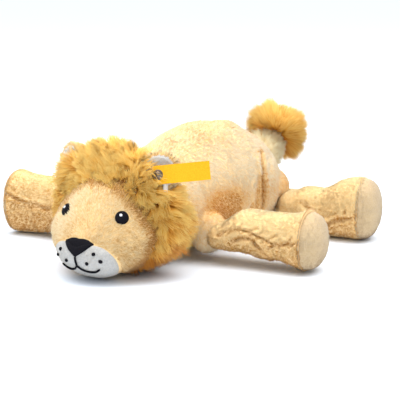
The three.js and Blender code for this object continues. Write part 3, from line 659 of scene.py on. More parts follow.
def scatter(mesh, density, thin):
    """Random places on a mesh, so many for each square metre, with their normals."""
    mesh.calc_loop_triangles()
    tris = np.empty(len(mesh.loop_triangles) * 3, np.int32)
    mesh.loop_triangles.foreach_get("vertices", tris)
    tris = tris.reshape(-1, 3)
    co, no = places_of(mesh), places_of(mesh, "normal")
    corners = co[tris]
    areas = np.linalg.norm(np.cross(corners[:, 1] - corners[:, 0], corners[:, 2] - corners[:, 0]), axis=1) / 2
    count = int(areas.sum() * density)
    chosen = rng.choice(len(tris), count, p=areas / areas.sum())
    u, v = rng.random(count), rng.random(count)
    flip = u + v > 1
    u[flip], v[flip] = 1 - u[flip], 1 - v[flip]
    w = np.stack([1 - u - v, u, v], axis=1)[..., None]
    points = (corners[chosen] * w).sum(1)
    normals = unit((no[tris[chosen]] * w).sum(1))
    if thin is not None:
        kept = rng.random(count) < thin(points, normals)
        points, normals = points[kept], normals[kept]
    return points, normals


def clumps(points, size):
    """For each strand the strand in the middle of its clump, and how far off it is."""
    count = max(1, len(points) // size)
    centres = rng.choice(len(points), count, replace=False)
    tree = kdtree.KDTree(count)
    for i, c in enumerate(centres):
        tree.insert(points[c], i)
    tree.balance()
    found = [tree.find(p) for p in points]
    return centres[np.array([f[1] for f in found])], np.array([f[2] for f in found])


def pile(name, body, mesh, kind, comb, thin=None, tone=None, longer=None):
    """Grows strands on a skin, combed along a field and drawn together in clumps."""
    made = PILES[kind]
    points, normals = scatter(mesh, made.density, thin)
    count = len(points)
    field = comb(points, normals) + made.rough * swirl(points, "comb")
    along = unit(field - normals * (field * normals).sum(1, keepdims=True))
    stray = rng.normal(0, STRAND["stray"], (count, 3))
    direction = unit(normals * made.lift + along * (1 - made.lift) + stray)
    uneven = STRAND["uneven"] * rng.normal(0, 1, count).clip(-STRAND["most_uneven"], STRAND["most_uneven"])
    lengths = made.length * (1 + uneven + STRAND["drift"] * noise(points, "length"))
    if longer is not None:
        lengths = lengths * longer(points, normals)
    lengths = lengths[:, None]
    roots = points - normals * STRAND["sink"]
    tips = roots + direction * lengths
    nearest, off = clumps(points, made.clump)
    tips += made.pull * (tips[nearest] - tips)
    helper = unit(np.cross(direction, rng.normal(0, 1, (count, 3))))
    other = np.cross(direction, helper)
    turns = np.arange(3) * 2 * math.pi / 3
    section = np.stack([helper * math.cos(t) + other * math.sin(t) for t in turns], axis=1) * made.width / 2
    rings = [roots[:, None, :] + section]
    heights = [0.0] * 3
    if made.bent:
        turning = roots + unit(normals * STRAND["turn_out"] + direction) * lengths / 2
        high = STRAND["bend"]
        place = (1 - high) ** 2 * roots + 2 * high * (1 - high) * turning + high**2 * tips
        rings.append(place[:, None, :] + section * STRAND["bend_width"])
        heights += [high] * 3
    rings.append(tips[:, None, :])
    heights.append(1.0)
    verts = np.concatenate(rings, axis=1)
    verts[..., 2] = np.maximum(verts[..., 2], FLOOR_LEVEL)
    faces = [(0, 2, 1)]
    top = 3 * made.bent
    for j in range(3):
        k = (j + 1) % 3
        if made.bent:
            faces += [(j, k, 3 + k), (j, 3 + k, 3 + j)]
        faces.append((top + j, top + k, top + 3))
    # Painted shade: strands far from the middle of their clump are darker, as the shade between clumps is.
    spread = np.sqrt(made.clump / (math.pi * made.density))
    gap = np.clip(off / spread - TONE["gap_from"], 0, TONE["gap_most"])
    shade = TONE["middle"] + made.vary * rng.normal(0, 1, count) - made.gaps * gap
    mottle = TONE["mottle"] * noise(points, "mottle") + TONE["patches"] * noise(points, "patches")
    shade += made.mottle * mottle
    if tone is not None:
        shade += tone(points, normals)
    shade = np.clip(shade, TONE["least"], TONE["most"])
    up_stray = rng.normal(0, STRAND["up_stray"], (count, 3))
    up = unit(normals * STRAND["up"] + direction * STRAND["up_along"] + up_stray)
    most = PIECE_LIMITS[made.bent]
    for part, start in enumerate(range(0, count, most)):
        some = slice(start, min(count, start + most))
        strands = strand_mesh(verts[some], np.array(faces), np.array(heights), shade[some], up[some])
        dress(f"{name}_{part + 1}", strands, body, made.look + "_pile")


def strand_mesh(verts, faces, heights, shade, up):
    """One mesh of closed strands, with tone and height in its UV layers."""
    count, each = verts.shape[:2]
    mesh = bpy.data.meshes.new("strands")
    index = (faces[None] + np.arange(count)[:, None, None] * each).reshape(-1, 3)
    mesh.vertices.add(count * each)
    mesh.vertices.foreach_set("co", verts.astype(np.float32).ravel())
    mesh.loops.add(index.size)
    mesh.loops.foreach_set("vertex_index", index.astype(np.int32).ravel())
    mesh.polygons.add(len(index))
    mesh.polygons.foreach_set("loop_start", np.arange(0, index.size, 3, dtype=np.int32))
    mesh.update(calc_edges=True)
    levels = np.stack([np.repeat(shade, each), np.tile(heights, count)], axis=1)
    for layer_name in ("pile", "OFBake"):
        layer = mesh.uv_layers.new(name=layer_name)
        layer.uv.foreach_set("vector", levels[index.ravel()].astype(np.float32).ravel())
    smoothed(mesh)
    mesh.normals_split_custom_set_from_vertices(np.repeat(up, each, axis=0).astype(np.float32))
    return mesh


def dress(name, mesh, body, look, replaced=()):
    """A piece that rides on a body, in the place of the solids that it replaces."""
    mesh.name = name
    piece = object_of(name, mesh)
    mesh.materials.clear()
    mesh.materials.append(LOOKS[look])
    if replaced:
        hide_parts(*replaced)
    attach(piece, body)
    return piece


def padded_skin(name, mesh, body, look, replaced):
    """A padded skin, pressed flat where it rests on the floor."""
    co = places_of(mesh)
    co[:, 2] = np.maximum(co[:, 2], 2 * FLOOR_LEVEL)
    set_places(mesh, co)
    smoothed(mesh)
    dress(name, mesh, body, look, replaced)


def new_material(name, levels):
    """A material with its shader's own values set."""
    look = bpy.data.materials.new(name)
    look.use_nodes = True
    shader = look.node_tree.nodes["Principled BSDF"]
    for socket, level in levels.items():
        shader.inputs[socket].default_value = level
    return look, look.node_tree.nodes, look.node_tree.links, shader


def ramp(nodes, places, colors):
    node = nodes.new("ShaderNodeValToRGB")
    while len(node.color_ramp.elements) < len(places):
        node.color_ramp.elements.new(0.5)
    for element, place, color in zip(node.color_ramp.elements, places, colors):
        element.position = place
        element.color = (*color, 1)
    return node


def linear(levels):
    """Linear colour out of sRGB levels from 0 to 255."""
    shares = [level / 255 for level in levels]
    return tuple(c / 12.92 if c <= 0.04045 else ((c + 0.055) / 1.055) ** 2.4 for c in shares)


def pile_material(name, root, middle, tip, dark, light):
    """Pile that is deep at its roots, partly as painted shade among the strands, and pale at its tips; each
    strand a little lighter or darker by its own tone and by painted light and shade.
    """
    look, nodes, links, shader = new_material(name, PILE_SHEEN)
    layer = nodes.new("ShaderNodeUVMap")
    layer.uv_map = "pile"
    split = nodes.new("ShaderNodeSeparateXYZ")
    links.new(layer.outputs["UV"], split.inputs[0])
    height = ramp(nodes, HEIGHT_STOPS, [linear(levels) for levels in (root, middle, tip)])
    links.new(split.outputs["Y"], height.inputs[0])
    deep = tuple(share * level for share, level in zip(DEEP_SHARES, dark))
    tone = ramp(nodes, TONE_STOPS, (deep, dark, (1, 1, 1), light))
    links.new(split.outputs["X"], tone.inputs[0])
    mix = nodes.new("ShaderNodeMix")
    mix.data_type = "RGBA"
    mix.blend_type = "MULTIPLY"
    mix.inputs["Factor"].default_value = 1
    links.new(height.outputs[0], mix.inputs["A"])
    links.new(tone.outputs[0], mix.inputs["B"])
    links.new(mix.outputs["Result"], shader.inputs["Base Color"])
    return look


def cloth_material(name, low, high, scale=900, bump=0.0004, roughness=0.9, sheen=0.2, specular=0.15, metal=0):
    """Backing cloth, thread or metal, mottled and lightly bumped."""
    look, nodes, links, shader = new_material(name, {
        "Roughness": roughness, "Specular IOR Level": specular, "Sheen Weight": sheen, "Metallic": metal})
    coordinates = nodes.new("ShaderNodeTexCoord")
    grain = nodes.new("ShaderNodeTexNoise")
    grain.inputs["Scale"].default_value = scale
    grain.inputs["Detail"].default_value = CLOTH_DETAIL
    links.new(coordinates.outputs["Object"], grain.inputs["Vector"])
    colors = ramp(nodes, CLOTH_STOPS, (linear(low), linear(high)))
    links.new(grain.outputs["Fac"], colors.inputs[0])
    links.new(colors.outputs[0], shader.inputs["Base Color"])
    relief = nodes.new("ShaderNodeBump")
    relief.inputs["Distance"].default_value = bump
    links.new(grain.outputs["Fac"], relief.inputs["Height"])
    links.new(relief.outputs[0], shader.inputs["Normal"])
    return look


LOOKS = {name + "_pile": pile_material(name + "_pile", *values) for name, values in PILE_LOOKS.items()}
LOOKS.update({name: cloth_material(name, *values) for name, values in CLOTH_LOOKS.items()})

TORSO_FORM = lying_form(TORSO, TORSO_SHARES, TORSO_FRONT_Y)
HEAD_FORM = lying_form(HEAD, HEAD_SHARES, HEAD_NOSE_Y)
MANE_FORM = lying_form(MANE, MANE_SHARES, MANE_BACK_Y - MANE["length"])
LEG_FORMS = {
    "foreleg_left": leg_form(FORELEG, FORELEG_SHARES, FORELEG_PLACE_SHARE, 1),
    "foreleg_right": leg_form(FAR_FORELEG, FORELEG_SHARES, FORELEG_PLACE_SHARE, -1),
    "hindleg_left": leg_form(HINDLEG, HINDLEG_SHARES, HINDLEG_PLACE_SHARE, 1),
    "hindleg_right": leg_form(HINDLEG, HINDLEG_SHARES, HINDLEG_PLACE_SHARE, -1),
}


def nearest_on(line, points, radial=None):
    """Each place's distance from a line, and how far along the line it is as a share."""
    best = np.full(len(points), np.inf)
    share = np.zeros(len(points))
    for i, (a, b) in enumerate(zip(line[:-1], line[1:])):
        step = b - a
        t = np.clip((points - a) @ step / (step @ step), 0, 1)
        off = points - a - t[:, None] * step
        if radial is not None:
            off -= radial * (off * radial).sum(1, keepdims=True)
        off = np.linalg.norm(off, axis=1)
        closer = off < best
        best[closer] = off[closer]
        share[closer] = ((i + t) / (len(line) - 1))[closer]
    return best, share


def crease(mesh, line, depth, width, lip):
    """Sinks a fold into a skin along a line and lifts the cloth beside it."""
    def height(co, no):
        off, share = nearest_on(line, co)
        off = off + width * CREASE["waver_share"] * noise(co, "crease")
        fade = np.sqrt(np.clip(4 * share * (1 - share), 0, 1))
        return (lip * np.exp(-((off / width - CREASE["lip_at"]) ** 2)) - depth * bell(off, width)) * fade

    lifted(mesh, height)


def lumps(mesh, kind, more_seed=0):
    """Uneven filling under a skin."""
    lifted(mesh, lambda co, no: LUMP_HEIGHTS[kind] * noise(co, kind, more_seed))


def swollen(mesh, place, reach, height):
    """Raises, or with a negative height sinks, a skin round a place."""
    lifted(mesh, lambda co, no: height * bell(np.linalg.norm(co - np.array(place), axis=1), reach))


def toward(kind):
    """A comb that lays the pile one way."""
    return lambda points, normals: np.broadcast_to(np.array(COMBS[kind], float), points.shape).copy()


def even_tone(kind):
    return lambda points, normals: np.full(len(points), EVEN_TONES[kind])


def above_floor(points, normals):
    """Less pile where a skin rests on the floor."""
    under = (points[:, 2] < UNDERSIDE["level"]) & (normals[:, 2] < UNDERSIDE["facing"])
    return np.where(under, UNDERSIDE["pile_share"], 1.0)


def belly_shade(points):
    """Painted shade in the shelter between the legs."""
    share = share_of(points[:, 2], *BELLY_SHADE["levels"])
    hinge = LEG_FORMS["foreleg_left"]["hinge"]
    off = np.hypot(points[:, 1] - hinge.y, points[:, 2] - SHOULDER["lift"])
    radius = SHOULDER["size"][1]
    shoulder = share_of(off, radius, radius - BELLY_SHADE["shoulder_edge"])
    shoulder = shoulder * (np.abs(points[:, 0]) > BELLY_SHADE["shoulder_x"])
    sheltered = np.exp(-(((points[:, 1] - BELLY_SHADE["middle_y"]) / BELLY_SHADE["reach_y"]) ** 4))
    open_share = BELLY_SHADE["open_share"]
    depth = BELLY_SHADE["deepest"] * (open_share + (1 - open_share) * sheltered)
    return -depth * share * share * (3 - 2 * share) * (1 - BELLY_SHADE["shoulder_share"] * shoulder)


def fold_shade(points, form, folds):
    """Painted shade inside a form's folds, whose marks run from its front side."""
    heading = np.array(form["heading"])
    start = np.array(form["start"])
    along = (points - start) @ heading
    level = np.interp(along, form["knots"], [row[2] for row in form["rows"]])
    middle = start + along[:, None] * heading + level[:, None] * np.array((0, 0, 1))
    radial = unit(points - middle)
    shade = np.zeros(len(points))
    for marks, depth, width, _ in folds:
        if depth > 0:
            off, _ = nearest_on(line_on(form, marks), points, radial)
            shade -= FOLD_SHADE["deepest"] * min(1, depth / FOLD_SHADE["full_depth"]) * bell(off, width)
    return shade


def torso():
    depth = PILE_DEPTH["torso"]
    parts = [lofted_mesh("torso", TORSO_FORM)]
    parts.append(ellipsoid(NECK_PLACE, [NECK[size] - depth for size in ("half_width", "radius", "radius")]))
    for name in ("foreleg_left", "foreleg_right"):
        hinge, side = LEG_FORMS[name]["hinge"], LEG_FORMS[name]["side"]
        place = Vector((hinge.x - side * SHOULDER["inset"], hinge.y, SHOULDER["lift"]))
        parts.append(ellipsoid(place, [r - depth for r in SHOULDER["size"]]))
    x, y, z = HIP["place"]
    for side in SIDES.values():
        parts.append(ellipsoid(Vector((side * x, y, z)), HIP["size"]))
    mesh = fused(parts)
    lumps(mesh, "torso")
    for swell in TORSO_SWELLS:
        swollen(mesh, *swell)
    for marks, *sizes in TORSO_FOLDS:
        crease(mesh, line_on(TORSO_FORM, marks, -depth), *sizes)
    padded_skin("torso_skin", mesh, "torso", "plush_skin", ("torso_cover", "torso_filling"))

    def tone(points, normals):
        # Painted shade on the upward-facing top, in the belly's shelter and in the folds.
        top = TORSO_TONE["top"] * np.clip(normals[:, 2], 0, 1) ** 2
        return TORSO_TONE["base"] + top + belly_shade(points) + fold_shade(points, TORSO_FORM, TORSO_FOLDS)

    pile("torso_pile", "torso", mesh, "torso", toward("torso"), above_floor, tone)


def at_shares(shares, side):
    """A place on one side of the head, at shares of its half width, length and height."""
    across, along, up = shares
    return Vector((
        side * across * HEAD["width"] / 2,
        HEAD_NOSE_Y + along * HEAD["length"],
        up * HEAD["height"],
    ))


def face_tone(points, normals):
    """Painted shade low down, on undersides and in the seam where the mane begins, not on the nape behind it;
    painted light on the far side; random patches besides.
    """
    seam_y = MANE_BACK_Y - MANE["length"]
    seam = share_of(points[:, 1], seam_y - SEAM_SHADE["reach"], seam_y)
    seam = seam * share_of((MANE_BACK_Y - points[:, 1]) / MANE["length"], *SEAM_SHADE["nape_shares"])
    patches = FACE_TONE["patches"] * noise(points, "face")
    patches = patches + FACE_TONE["broad_patches"] * noise(points, "face_patches")
    # Painted light: a base lift, and more of it on the far side of the face.
    pale = FACE_TONE["base"] + FACE_TONE["far"] * share_of(points[:, 0], 0, FACE_TONE["far_x"])
    low = LOW_SHADE["low"] * share_of(points[:, 2], LOW_SHADE["level"], 0)
    under = LOW_SHADE["under"] * np.clip(-normals[:, 2], 0, 1)
    return (low + under) * FACE_TONE["low_share"] - SEAM_SHADE["deepest"] * seam + patches + pale


def puffed(mesh, side):
    """Pushes the snout forward beside the nose."""
    co = places_of(mesh)
    off = np.hypot(co[:, 0] - side * SNOUT["across"], co[:, 2] - SNOUT["up"])
    front = share_of(co[:, 1] - HEAD_NOSE_Y, *SNOUT["fade"])
    co[:, 1] -= SNOUT["push"] * bell(off, SNOUT["reach"]) * front
    set_places(mesh, co)


def head():
    mesh = lofted_mesh("head", HEAD_FORM)
    eyes = [np.array(at_shares(EYE_SHARES, side)) for side in (-1, 1)]
    for eye_place in eyes:
        swollen(mesh, eye_place, EYE["dimple_width"], -EYE["dimple"])
    for side in (-1, 1):
        puffed(mesh, side)
    lumps(mesh, "head")
    padded_skin("head_skin", mesh, "head", "plush_skin", ("head_cover", "head_filling"))
    nose = np.array((0, HEAD_NOSE_Y, FACE_COMB_LEVEL))

    def thin(points, normals):
        bare = above_floor(points, normals)
        for eye_place in eyes:
            bare = bare * (np.linalg.norm(points - eye_place, axis=1) > EYE["radius"] * BARE_EYE_SHARE)
        inside = within(MUZZLE_OUTLINE, points) | within(NOSE_OUTLINE, points)
        inside &= points[:, 1] < HEAD_NOSE_Y + HEAD["length"] / 2
        return bare * ~inside

    def comb(points, normals):
        return unit(points - nose) + COMB_SWIRLS["head"] * swirl(points, "face_comb")

    pile("head_pile", "head", mesh, "head", comb, thin, face_tone)
    return mesh


def face_points(shares, side=1):
    """Places across the face, as x and z."""
    return [(side * x * HEAD["width"] / 2, z * HEAD["height"]) for x, z in shares]


def resampled(points, count, closed, ease=3):
    """Evenly spaced places along a line through the points, its corners eased."""
    pts = np.array(points, float)
    if closed:
        pts = np.vstack([pts, pts[:1]])
    at = np.concatenate([[0], np.cumsum(np.linalg.norm(np.diff(pts, axis=0), axis=1))])
    where = np.linspace(0, at[-1], count, endpoint=not closed)
    line = np.stack([np.interp(where, at, pts[:, k]) for k in range(pts.shape[1])], axis=1)
    for _ in range(ease):
        if closed:
            line = (np.roll(line, 1, 0) + 2 * line + np.roll(line, -1, 0)) / 4
        else:
            line[1:-1] = (line[:-2] + 2 * line[1:-1] + line[2:]) / 4
    return line


def outline(kind, shares):
    """A closed outline, the same on both sides of the face."""
    right = face_points(shares)
    count, ease = OUTLINE_STEPS[kind]
    return resampled(right + [(-x, z) for x, z in reversed(right) if x > 0], count, True, ease)


MUZZLE_OUTLINE = outline("muzzle", MUZZLE_SHARES)
NOSE_OUTLINE = outline("nose", NOSE_SHARES)


def within(edge, points):
    """Which places lie inside an outline, seen from the front."""
    x, z = points[:, 0], points[:, 2]
    inside = np.zeros(len(points), bool)
    for (x1, z1), (x2, z2) in zip(edge, np.roll(edge, -1, axis=0)):
        crosses = (z1 > z) != (z2 > z)
        with np.errstate(divide="ignore", invalid="ignore"):
            inside ^= crosses & (x < (x2 - x1) * (z - z1) / (z2 - z1) + x1)
    return inside


def tree_of(*meshes):
    places, corners = [], []
    for mesh in meshes:
        first = len(places)
        places.extend(v.co for v in mesh.vertices)
        corners.extend([first + i for i in p.vertices] for p in mesh.polygons)
    return BVHTree.FromPolygons(places, corners)


def on_skin(tree, starts, direction):
    """Where rays meet a skin, and the way it faces there."""
    places, normals = [], []
    for start in starts:
        hit, normal, _, _ = tree.ray_cast(Vector(start), Vector(direction))
        if hit is None:
            hit, normal, _, _ = tree.find_nearest(Vector(start) + Vector(direction) * MISSED_REACH)
        places.append(hit)
        normals.append(normal)
    return np.array(places), np.array(normals)


def pad_mesh(kind, tree, starts_of, direction):
    """A low pad on a skin: rings from its middle out, raised inside and sunk at its rim."""
    rise, sink, rings, power = PADS[kind]
    verts = []
    for i in range(rings + 1):
        share = i / rings
        places, normals = on_skin(tree, starts_of(max(share, PAD_MIDDLE_SHARE)), direction)
        verts.append(places + normals * (rise * (1 - share**power) ** 0.5 - sink * (i == rings)))
    mesh = mesh_of(kind, np.concatenate(verts), grid_faces(rings + 1, len(verts[0])))
    smoothed(outward(mesh, direction))
    return mesh


def outline_starts(edge):
    """Rays from in front of the face, over a share of an outline."""
    middle = edge.mean(0)
    return lambda share: [
        (x, HEAD_NOSE_Y - RAY_FROM["front"], z) for x, z in middle + share * (edge - middle)]


def circle_starts(centre, axis, radius, corners):
    """Rays from in front of a round spot, over a share of it."""
    axis = Vector(axis).normalized()
    first = axis.orthogonal().normalized()
    second = axis.cross(first)

    def starts(share):
        out = []
        for j in range(corners):
            a = 2 * math.pi * j / corners
            spoke = (first * math.cos(a) + second * math.sin(a)) * radius * share
            out.append(centre + axis * RAY_FROM["circle"] + spoke)
        return out

    return starts


def stitched(node, mesh, look="black_thread"):
    dress(node + "_stitches", mesh, "head", look, (node,))


def face(head_mesh):
    tree = tree_of(head_mesh)
    muzzle = pad_mesh("muzzle", tree, outline_starts(MUZZLE_OUTLINE), FRONT)
    dress("muzzle_skin", muzzle, "head", "muzzle_skin", ("muzzle_patch",))
    pile("muzzle_pile", "head", muzzle, "muzzle", toward("muzzle"),
         lambda points, normals: ~within(NOSE_OUTLINE, points) * 1.0)
    muzzle_tree = tree_of(head_mesh, muzzle)
    stitched("nose", pad_mesh("nose", muzzle_tree, outline_starts(NOSE_OUTLINE), FRONT))
    mouth(muzzle_tree)
    for word, side in SIDES.items():
        for i, (x, z) in enumerate(face_points(WHISKER_SHARES, side)):
            place = Vector((x, HEAD_NOSE_Y - RAY_FROM["whisker"], z))
            starts = circle_starts(place, (0, -1, 0), WHISKER["radius"], WHISKER["corners"])
            stitched(f"whisker_spot_{word}_{i + 1}", pad_mesh("whisker", muzzle_tree, starts, FRONT))
        eye(tree, side, word)


def eye(tree, side, word):
    turn, tilt = math.radians(EYE["turn"]), math.radians(EYE["tilt"])
    axis = Vector((side * math.sin(turn) * math.cos(tilt), -math.cos(turn) * math.cos(tilt), math.sin(tilt)))
    centre = at_shares(EYE_SHARES, side)
    ball = pad_mesh("eye", tree, circle_starts(centre, axis, EYE["radius"], EYE["corners"]), -axis)
    stitched(f"eye_{word}", ball)
    inward = Vector((-side, 0, 0))
    inward = (inward - axis * inward.dot(axis)).normalized()
    spot = centre + Vector((0, 0, EYE["shine_up"])) + inward * EYE["shine_in"]
    starts = circle_starts(spot, axis, EYE["shine"], EYE["shine_corners"])
    stitched(f"eye_shine_{word}", pad_mesh("shine", tree_of(ball), starts, -axis), "white_thread")


def mouth(tree):
    lines = [resampled(face_points(MOUTH_STEM_SHARES), MOUTH["stem_steps"], False)]
    for side in SIDES.values():
        curve = face_points(MOUTH_CURVE_SHARES, side)
        lines.append(resampled(curve, MOUTH["curve_steps"], False, MOUTH["ease"]))
    verts, faces = [], []
    for line in lines:
        places, normals = on_skin(tree, [(x, HEAD_NOSE_Y - RAY_FROM["front"], z) for x, z in line], FRONT)
        share = np.linspace(0, 1, len(line))
        taper = np.clip(np.minimum(share, 1 - share) * MOUTH["taper"] + MOUTH["end"], 0, 1)
        middle = places + normals * MOUTH["radius"]
        add_tube(verts, faces, middle, MOUTH["radius"] * taper, MOUTH["sides"], TUBE_GUIDE)
    mesh = outward(mesh_of("mouth", verts, faces))
    smoothed(mesh)
    stitched("mouth", mesh)


def add_tube(verts, faces, line, radii, sides, guide):
    """A closed tube along a line of places, its sides counted from across the guide."""
    slopes = unit(np.gradient(line, axis=0))
    across = unit(np.cross(slopes, guide))[:, None]
    up = np.cross(across, slopes[:, None])
    turn = 2 * math.pi * np.arange(sides)[:, None] / sides
    first = len(verts)
    spokes = radii[:, None, None] * (np.cos(turn) * across + np.sin(turn) * up)
    verts.extend((line[:, None] + spokes).reshape(-1, 3))
    faces.extend(grid_faces(len(line), sides, first))
    faces.append(tuple(range(first, first + sides)))
    faces.append(tuple(reversed(range(len(verts) - sides, len(verts)))))


def leg_marks(form, marks):
    """Marks with the degrees counted from the leg's front side."""
    return [(share, degrees if form["side"] > 0 else 180 - degrees) for share, degrees in marks]


def raised(mesh, form, along, reach, rise, facing_way):
    """Lifts the top, or with -1 the underside, of a leg's skin round a place along it."""
    co, no = places_of(mesh), places_of(mesh, "normal")
    off = (co - np.array(form["start"])) @ np.array(form["heading"]) - along
    co[:, 2] += rise * bell(off, reach) * np.clip(facing_way * no[:, 2] + RISE_FACING, 0, 1)
    set_places(mesh, co)


def gathers(co, no):
    """How far a leg's skin sinks in the fine gathers below its seam."""
    below = share_of(no[:, 2], *GATHERS["facing"]) * share_of(co[:, 2], *GATHERS["levels"])
    stretched = co * GATHERS["stretch"]
    fine = np.abs(noise(stretched, "fine_gathers"))
    ridge = np.abs(noise(stretched, "gathers")) + GATHERS["fine_share"] * fine
    return -GATHERS["depth"] * (ridge - GATHERS["level"]) * below


def pucker(form, seam, place, way):
    """A small slanted fold across a leg's seam."""
    share, degrees = [np.interp(place, range(len(seam)), seam[:, k]) for k in (0, 1)]
    end = (share - way * rng.uniform(*PUCKER["shares"]), degrees - way * rng.uniform(*PUCKER["degrees"]))
    marks = leg_marks(form, ((share, degrees), end))
    return marks, rng.uniform(*PUCKER["depths"]), PUCKER_SIZES["width"], PUCKER_SIZES["lip"]


def leg(name):
    form = LEG_FORMS[name]
    depth = PILE_DEPTH["leg"]
    mesh = lofted_mesh("leg", form)
    out = np.array(form["heading"])
    start = np.array(form["start"])
    for facing_way, rises in zip((1, -1), LEG_RISES[name]):
        for rise in rises:
            raised(mesh, form, *rise, facing_way)
    lumps(mesh, "leg", len(name) + form["side"])
    lifted(mesh, gathers)
    folds = [(leg_marks(form, marks), *sizes) for marks, *sizes in LEG_FOLDS[name]]
    for marks, *sizes in folds:
        crease(mesh, line_on(form, marks, -depth), *sizes)
    seam = np.array(LEG_FOLDS[name][0][0])
    count = SEAM_PUCKERS[name]
    for i in range(count):
        place = (i + 0.5 + rng.uniform(-PUCKER["shift"], PUCKER["shift"])) / count * (len(seam) - 1)
        folds.append(pucker(form, seam, place, 1 if i % PUCKER_SIZES["every"] else PUCKER_SIZES["back"]))
        crease(mesh, line_on(form, folds[-1][0], -depth), *folds[-1][1:])
    rim = form["reach"] - SOLE_DEPTHS[name]

    def past_rim(points):
        return (points - start) @ out - rim

    co, no = places_of(mesh), places_of(mesh, "normal")
    past = past_rim(co)
    co -= out * np.clip(past - RIM["overhang"], 0, None)[:, None]
    swell = RIM["swell"] * bell(past - RIM["swell_at"], RIM["swell_reach"])
    set_places(mesh, co + no * (swell - RIM["groove"] * bell(past, RIM["groove_reach"]))[:, None])
    solids = (name + "_cover", name + "_filling")
    padded_skin(name + "_skin", mesh, name, "plush_skin", solids)

    def on_cover(points, normals):
        inside = (past_rim(points) < RIM["pile_past"]) * (normals @ out < RIM["pile_facing"])
        return above_floor(points, normals) * inside

    def comb(points, normals):
        return out + np.array(COMBS["leg"]) + COMB_SWIRLS["leg"] * swirl(points, "leg_comb")

    def tone(points, normals):
        # Painted light and shade: the far leg darker, tops lighter, low parts, undersides, rim and folds
        # darker.
        up = normals[:, 2]
        shade = LEG_TONE["base"] + LEG_TONE["far"] * (form["side"] < 0)
        shade += LEG_TONE["top"] * np.clip(up, 0, 1) ** LEG_TONE["top_power"]
        shade += LEG_TONE["low"] * share_of(points[:, 2], LEG_TONE["level"], 0)
        shade += LEG_TONE["under"] * np.clip(LEG_TONE["under_from"] - up, 0, 1)
        edge = RIM_SHADE["deepest"] * bell(past_rim(points), RIM_SHADE["reach"])
        return shade + fold_shade(points, form, folds) - edge

    pile(name + "_pile", name, mesh, "leg", comb, on_cover, tone)
    sole(name, form, rim, mesh)


def sole(name, form, rim, leg_mesh):
    """The pale round cloth at a paw's end, sewn to the rim of the leg's skin."""
    out = np.array(form["heading"])
    across = np.array((-out[1], out[0], 0))
    inner = np.array(form["start"]) + out * (rim - SOLE["inset"])
    inner[2] = form["rows"][-1][2]
    tree = tree_of(leg_mesh)
    edge = []
    for angle in np.linspace(0, 2 * math.pi, SOLE["sides"], endpoint=False):
        ray = across * math.cos(angle) + np.array((0, 0, math.sin(angle)))
        hit = tree.ray_cast(Vector(inner), Vector(ray))[0]
        edge.append(np.array(hit) + ray * SOLE["overlap"])
    edge = resampled(edge, SOLE["sides"], True, SOLE["ease"])
    middle = edge.mean(0)
    grid = []
    for turn in np.linspace(0, 1, SOLE["rings"]) * math.pi / 2:
        wide, deep = [part ** (2 / SOLE["power"]) for part in (math.sin(turn), max(math.cos(turn), 0))]
        bulge = deep * (form["reach"] - rim + SOLE_CROWNS[name])
        grid.append(middle + max(wide, SOLE_MIDDLE_SHARE) * (edge - middle) + out * bulge)
    grid.append(middle + SOLE_TUCK_SHARE * (edge - middle) - out * SOLE["tuck"])
    mesh = mesh_of(name, np.concatenate(grid), grid_faces(len(grid), SOLE["sides"]))
    smoothed(outward(mesh, -form["heading"]))
    dress(name + "_sole_skin", mesh, name, "sole_skin", (name + "_sole",))

    def tone(points, normals):
        # Painted light and shade: lighter up high, darker low down.
        return np.clip((points[:, 2] - SOLE_TONE["level"]) / SOLE_TONE["reach"], *SOLE_TONE["range"])

    pile(name + "_sole_pile", name, mesh, "sole", toward("sole"), tone=tone)


def ear_frame(side):
    turn = Matrix.Rotation(math.pi + side * math.radians(EAR["turn"]), 4, "Z")
    place = Matrix.Translation(at_shares(EAR_SHARES, side))
    return place @ turn @ Matrix.Rotation(math.radians(EAR["lean"]), 4, "X")


def mane():
    mesh = lofted_mesh("mane", MANE_FORM)
    # The mane's dark skin is painted shade deep among the long hair.
    padded_skin("mane_skin", mesh, "head", "mane_skin", ("mane",))
    centre = np.array((0, MANE_BACK_Y - MANE["length"] / 2, MANE_COMB["level"]))
    where = ear_frame(1)
    far_ear = np.array(ear_frame(-1) @ Vector((0, FAR_EAR["front"], 0)))

    def comb(points, normals):
        away = unit((points - centre) * (1, 0, 1))
        sideways = np.clip(np.abs(points[:, 0:1]) / (MANE["width"] / 2), 0, 1)
        droop = np.array((0, 0, MANE_COMB["droop"])) * sideways
        near = points[:, 0:1] > MANE_COMB["near_x"]
        back = np.array((0, 1, 0)) * (MANE_COMB["back"] + MANE_COMB["near_back"] * near)
        return MANE_COMB["away"] * away + droop + back + COMB_SWIRLS["mane"] * swirl(points, "mane_comb")

    def longer(points, normals):
        """Longer hair on the crown, and short hair in front of the tagged ear."""
        front_y = MANE_BACK_Y - CROWN["front_share"] * MANE["length"]
        crown = share_of(points[:, 2], *CROWN["levels"])
        crown = crown * share_of(points[:, 1], front_y, front_y - CROWN["front_reach"])
        local = (points - np.array(where.translation)) @ np.array(where.to_3x3())
        clear = np.hypot(local[:, 0], local[:, 2]) < EAR["radius"]
        clear &= (local[:, 1] > TAGGED_EAR["behind"]) & (local[:, 0] < TAGGED_EAR["beside"])
        far = np.linalg.norm(points - far_ear, axis=1) < FAR_EAR["reach"]
        far &= points[:, 0] > far_ear[0] + FAR_EAR["beside"]
        sides = np.interp(share_of(points[:, 0], *MANE_SIDES_X), *MANE_SIDE_SHARES)
        sides = np.where(far, FAR_EAR["length_share"], sides)
        return (1 + CROWN["longer_share"] * crown) * np.where(clear, TAGGED_EAR["length_share"], 1) * sides

    def tone(points, normals):
        # Painted shade low down on the mane, with random unevenness besides.
        near = share_of(points[:, 0], 0, MANE_TONE["near_x"])
        uneven = (MANE_TONE["uneven"] + MANE_TONE["near_uneven"] * near) * noise(points, "mane")
        return MANE_TONE["base"] + MANE_TONE["low"] * share_of(points[:, 2], MANE_TONE["level"], 0) + uneven

    pile("mane_pile", "head", mesh, "mane", comb, above_floor, tone, longer)


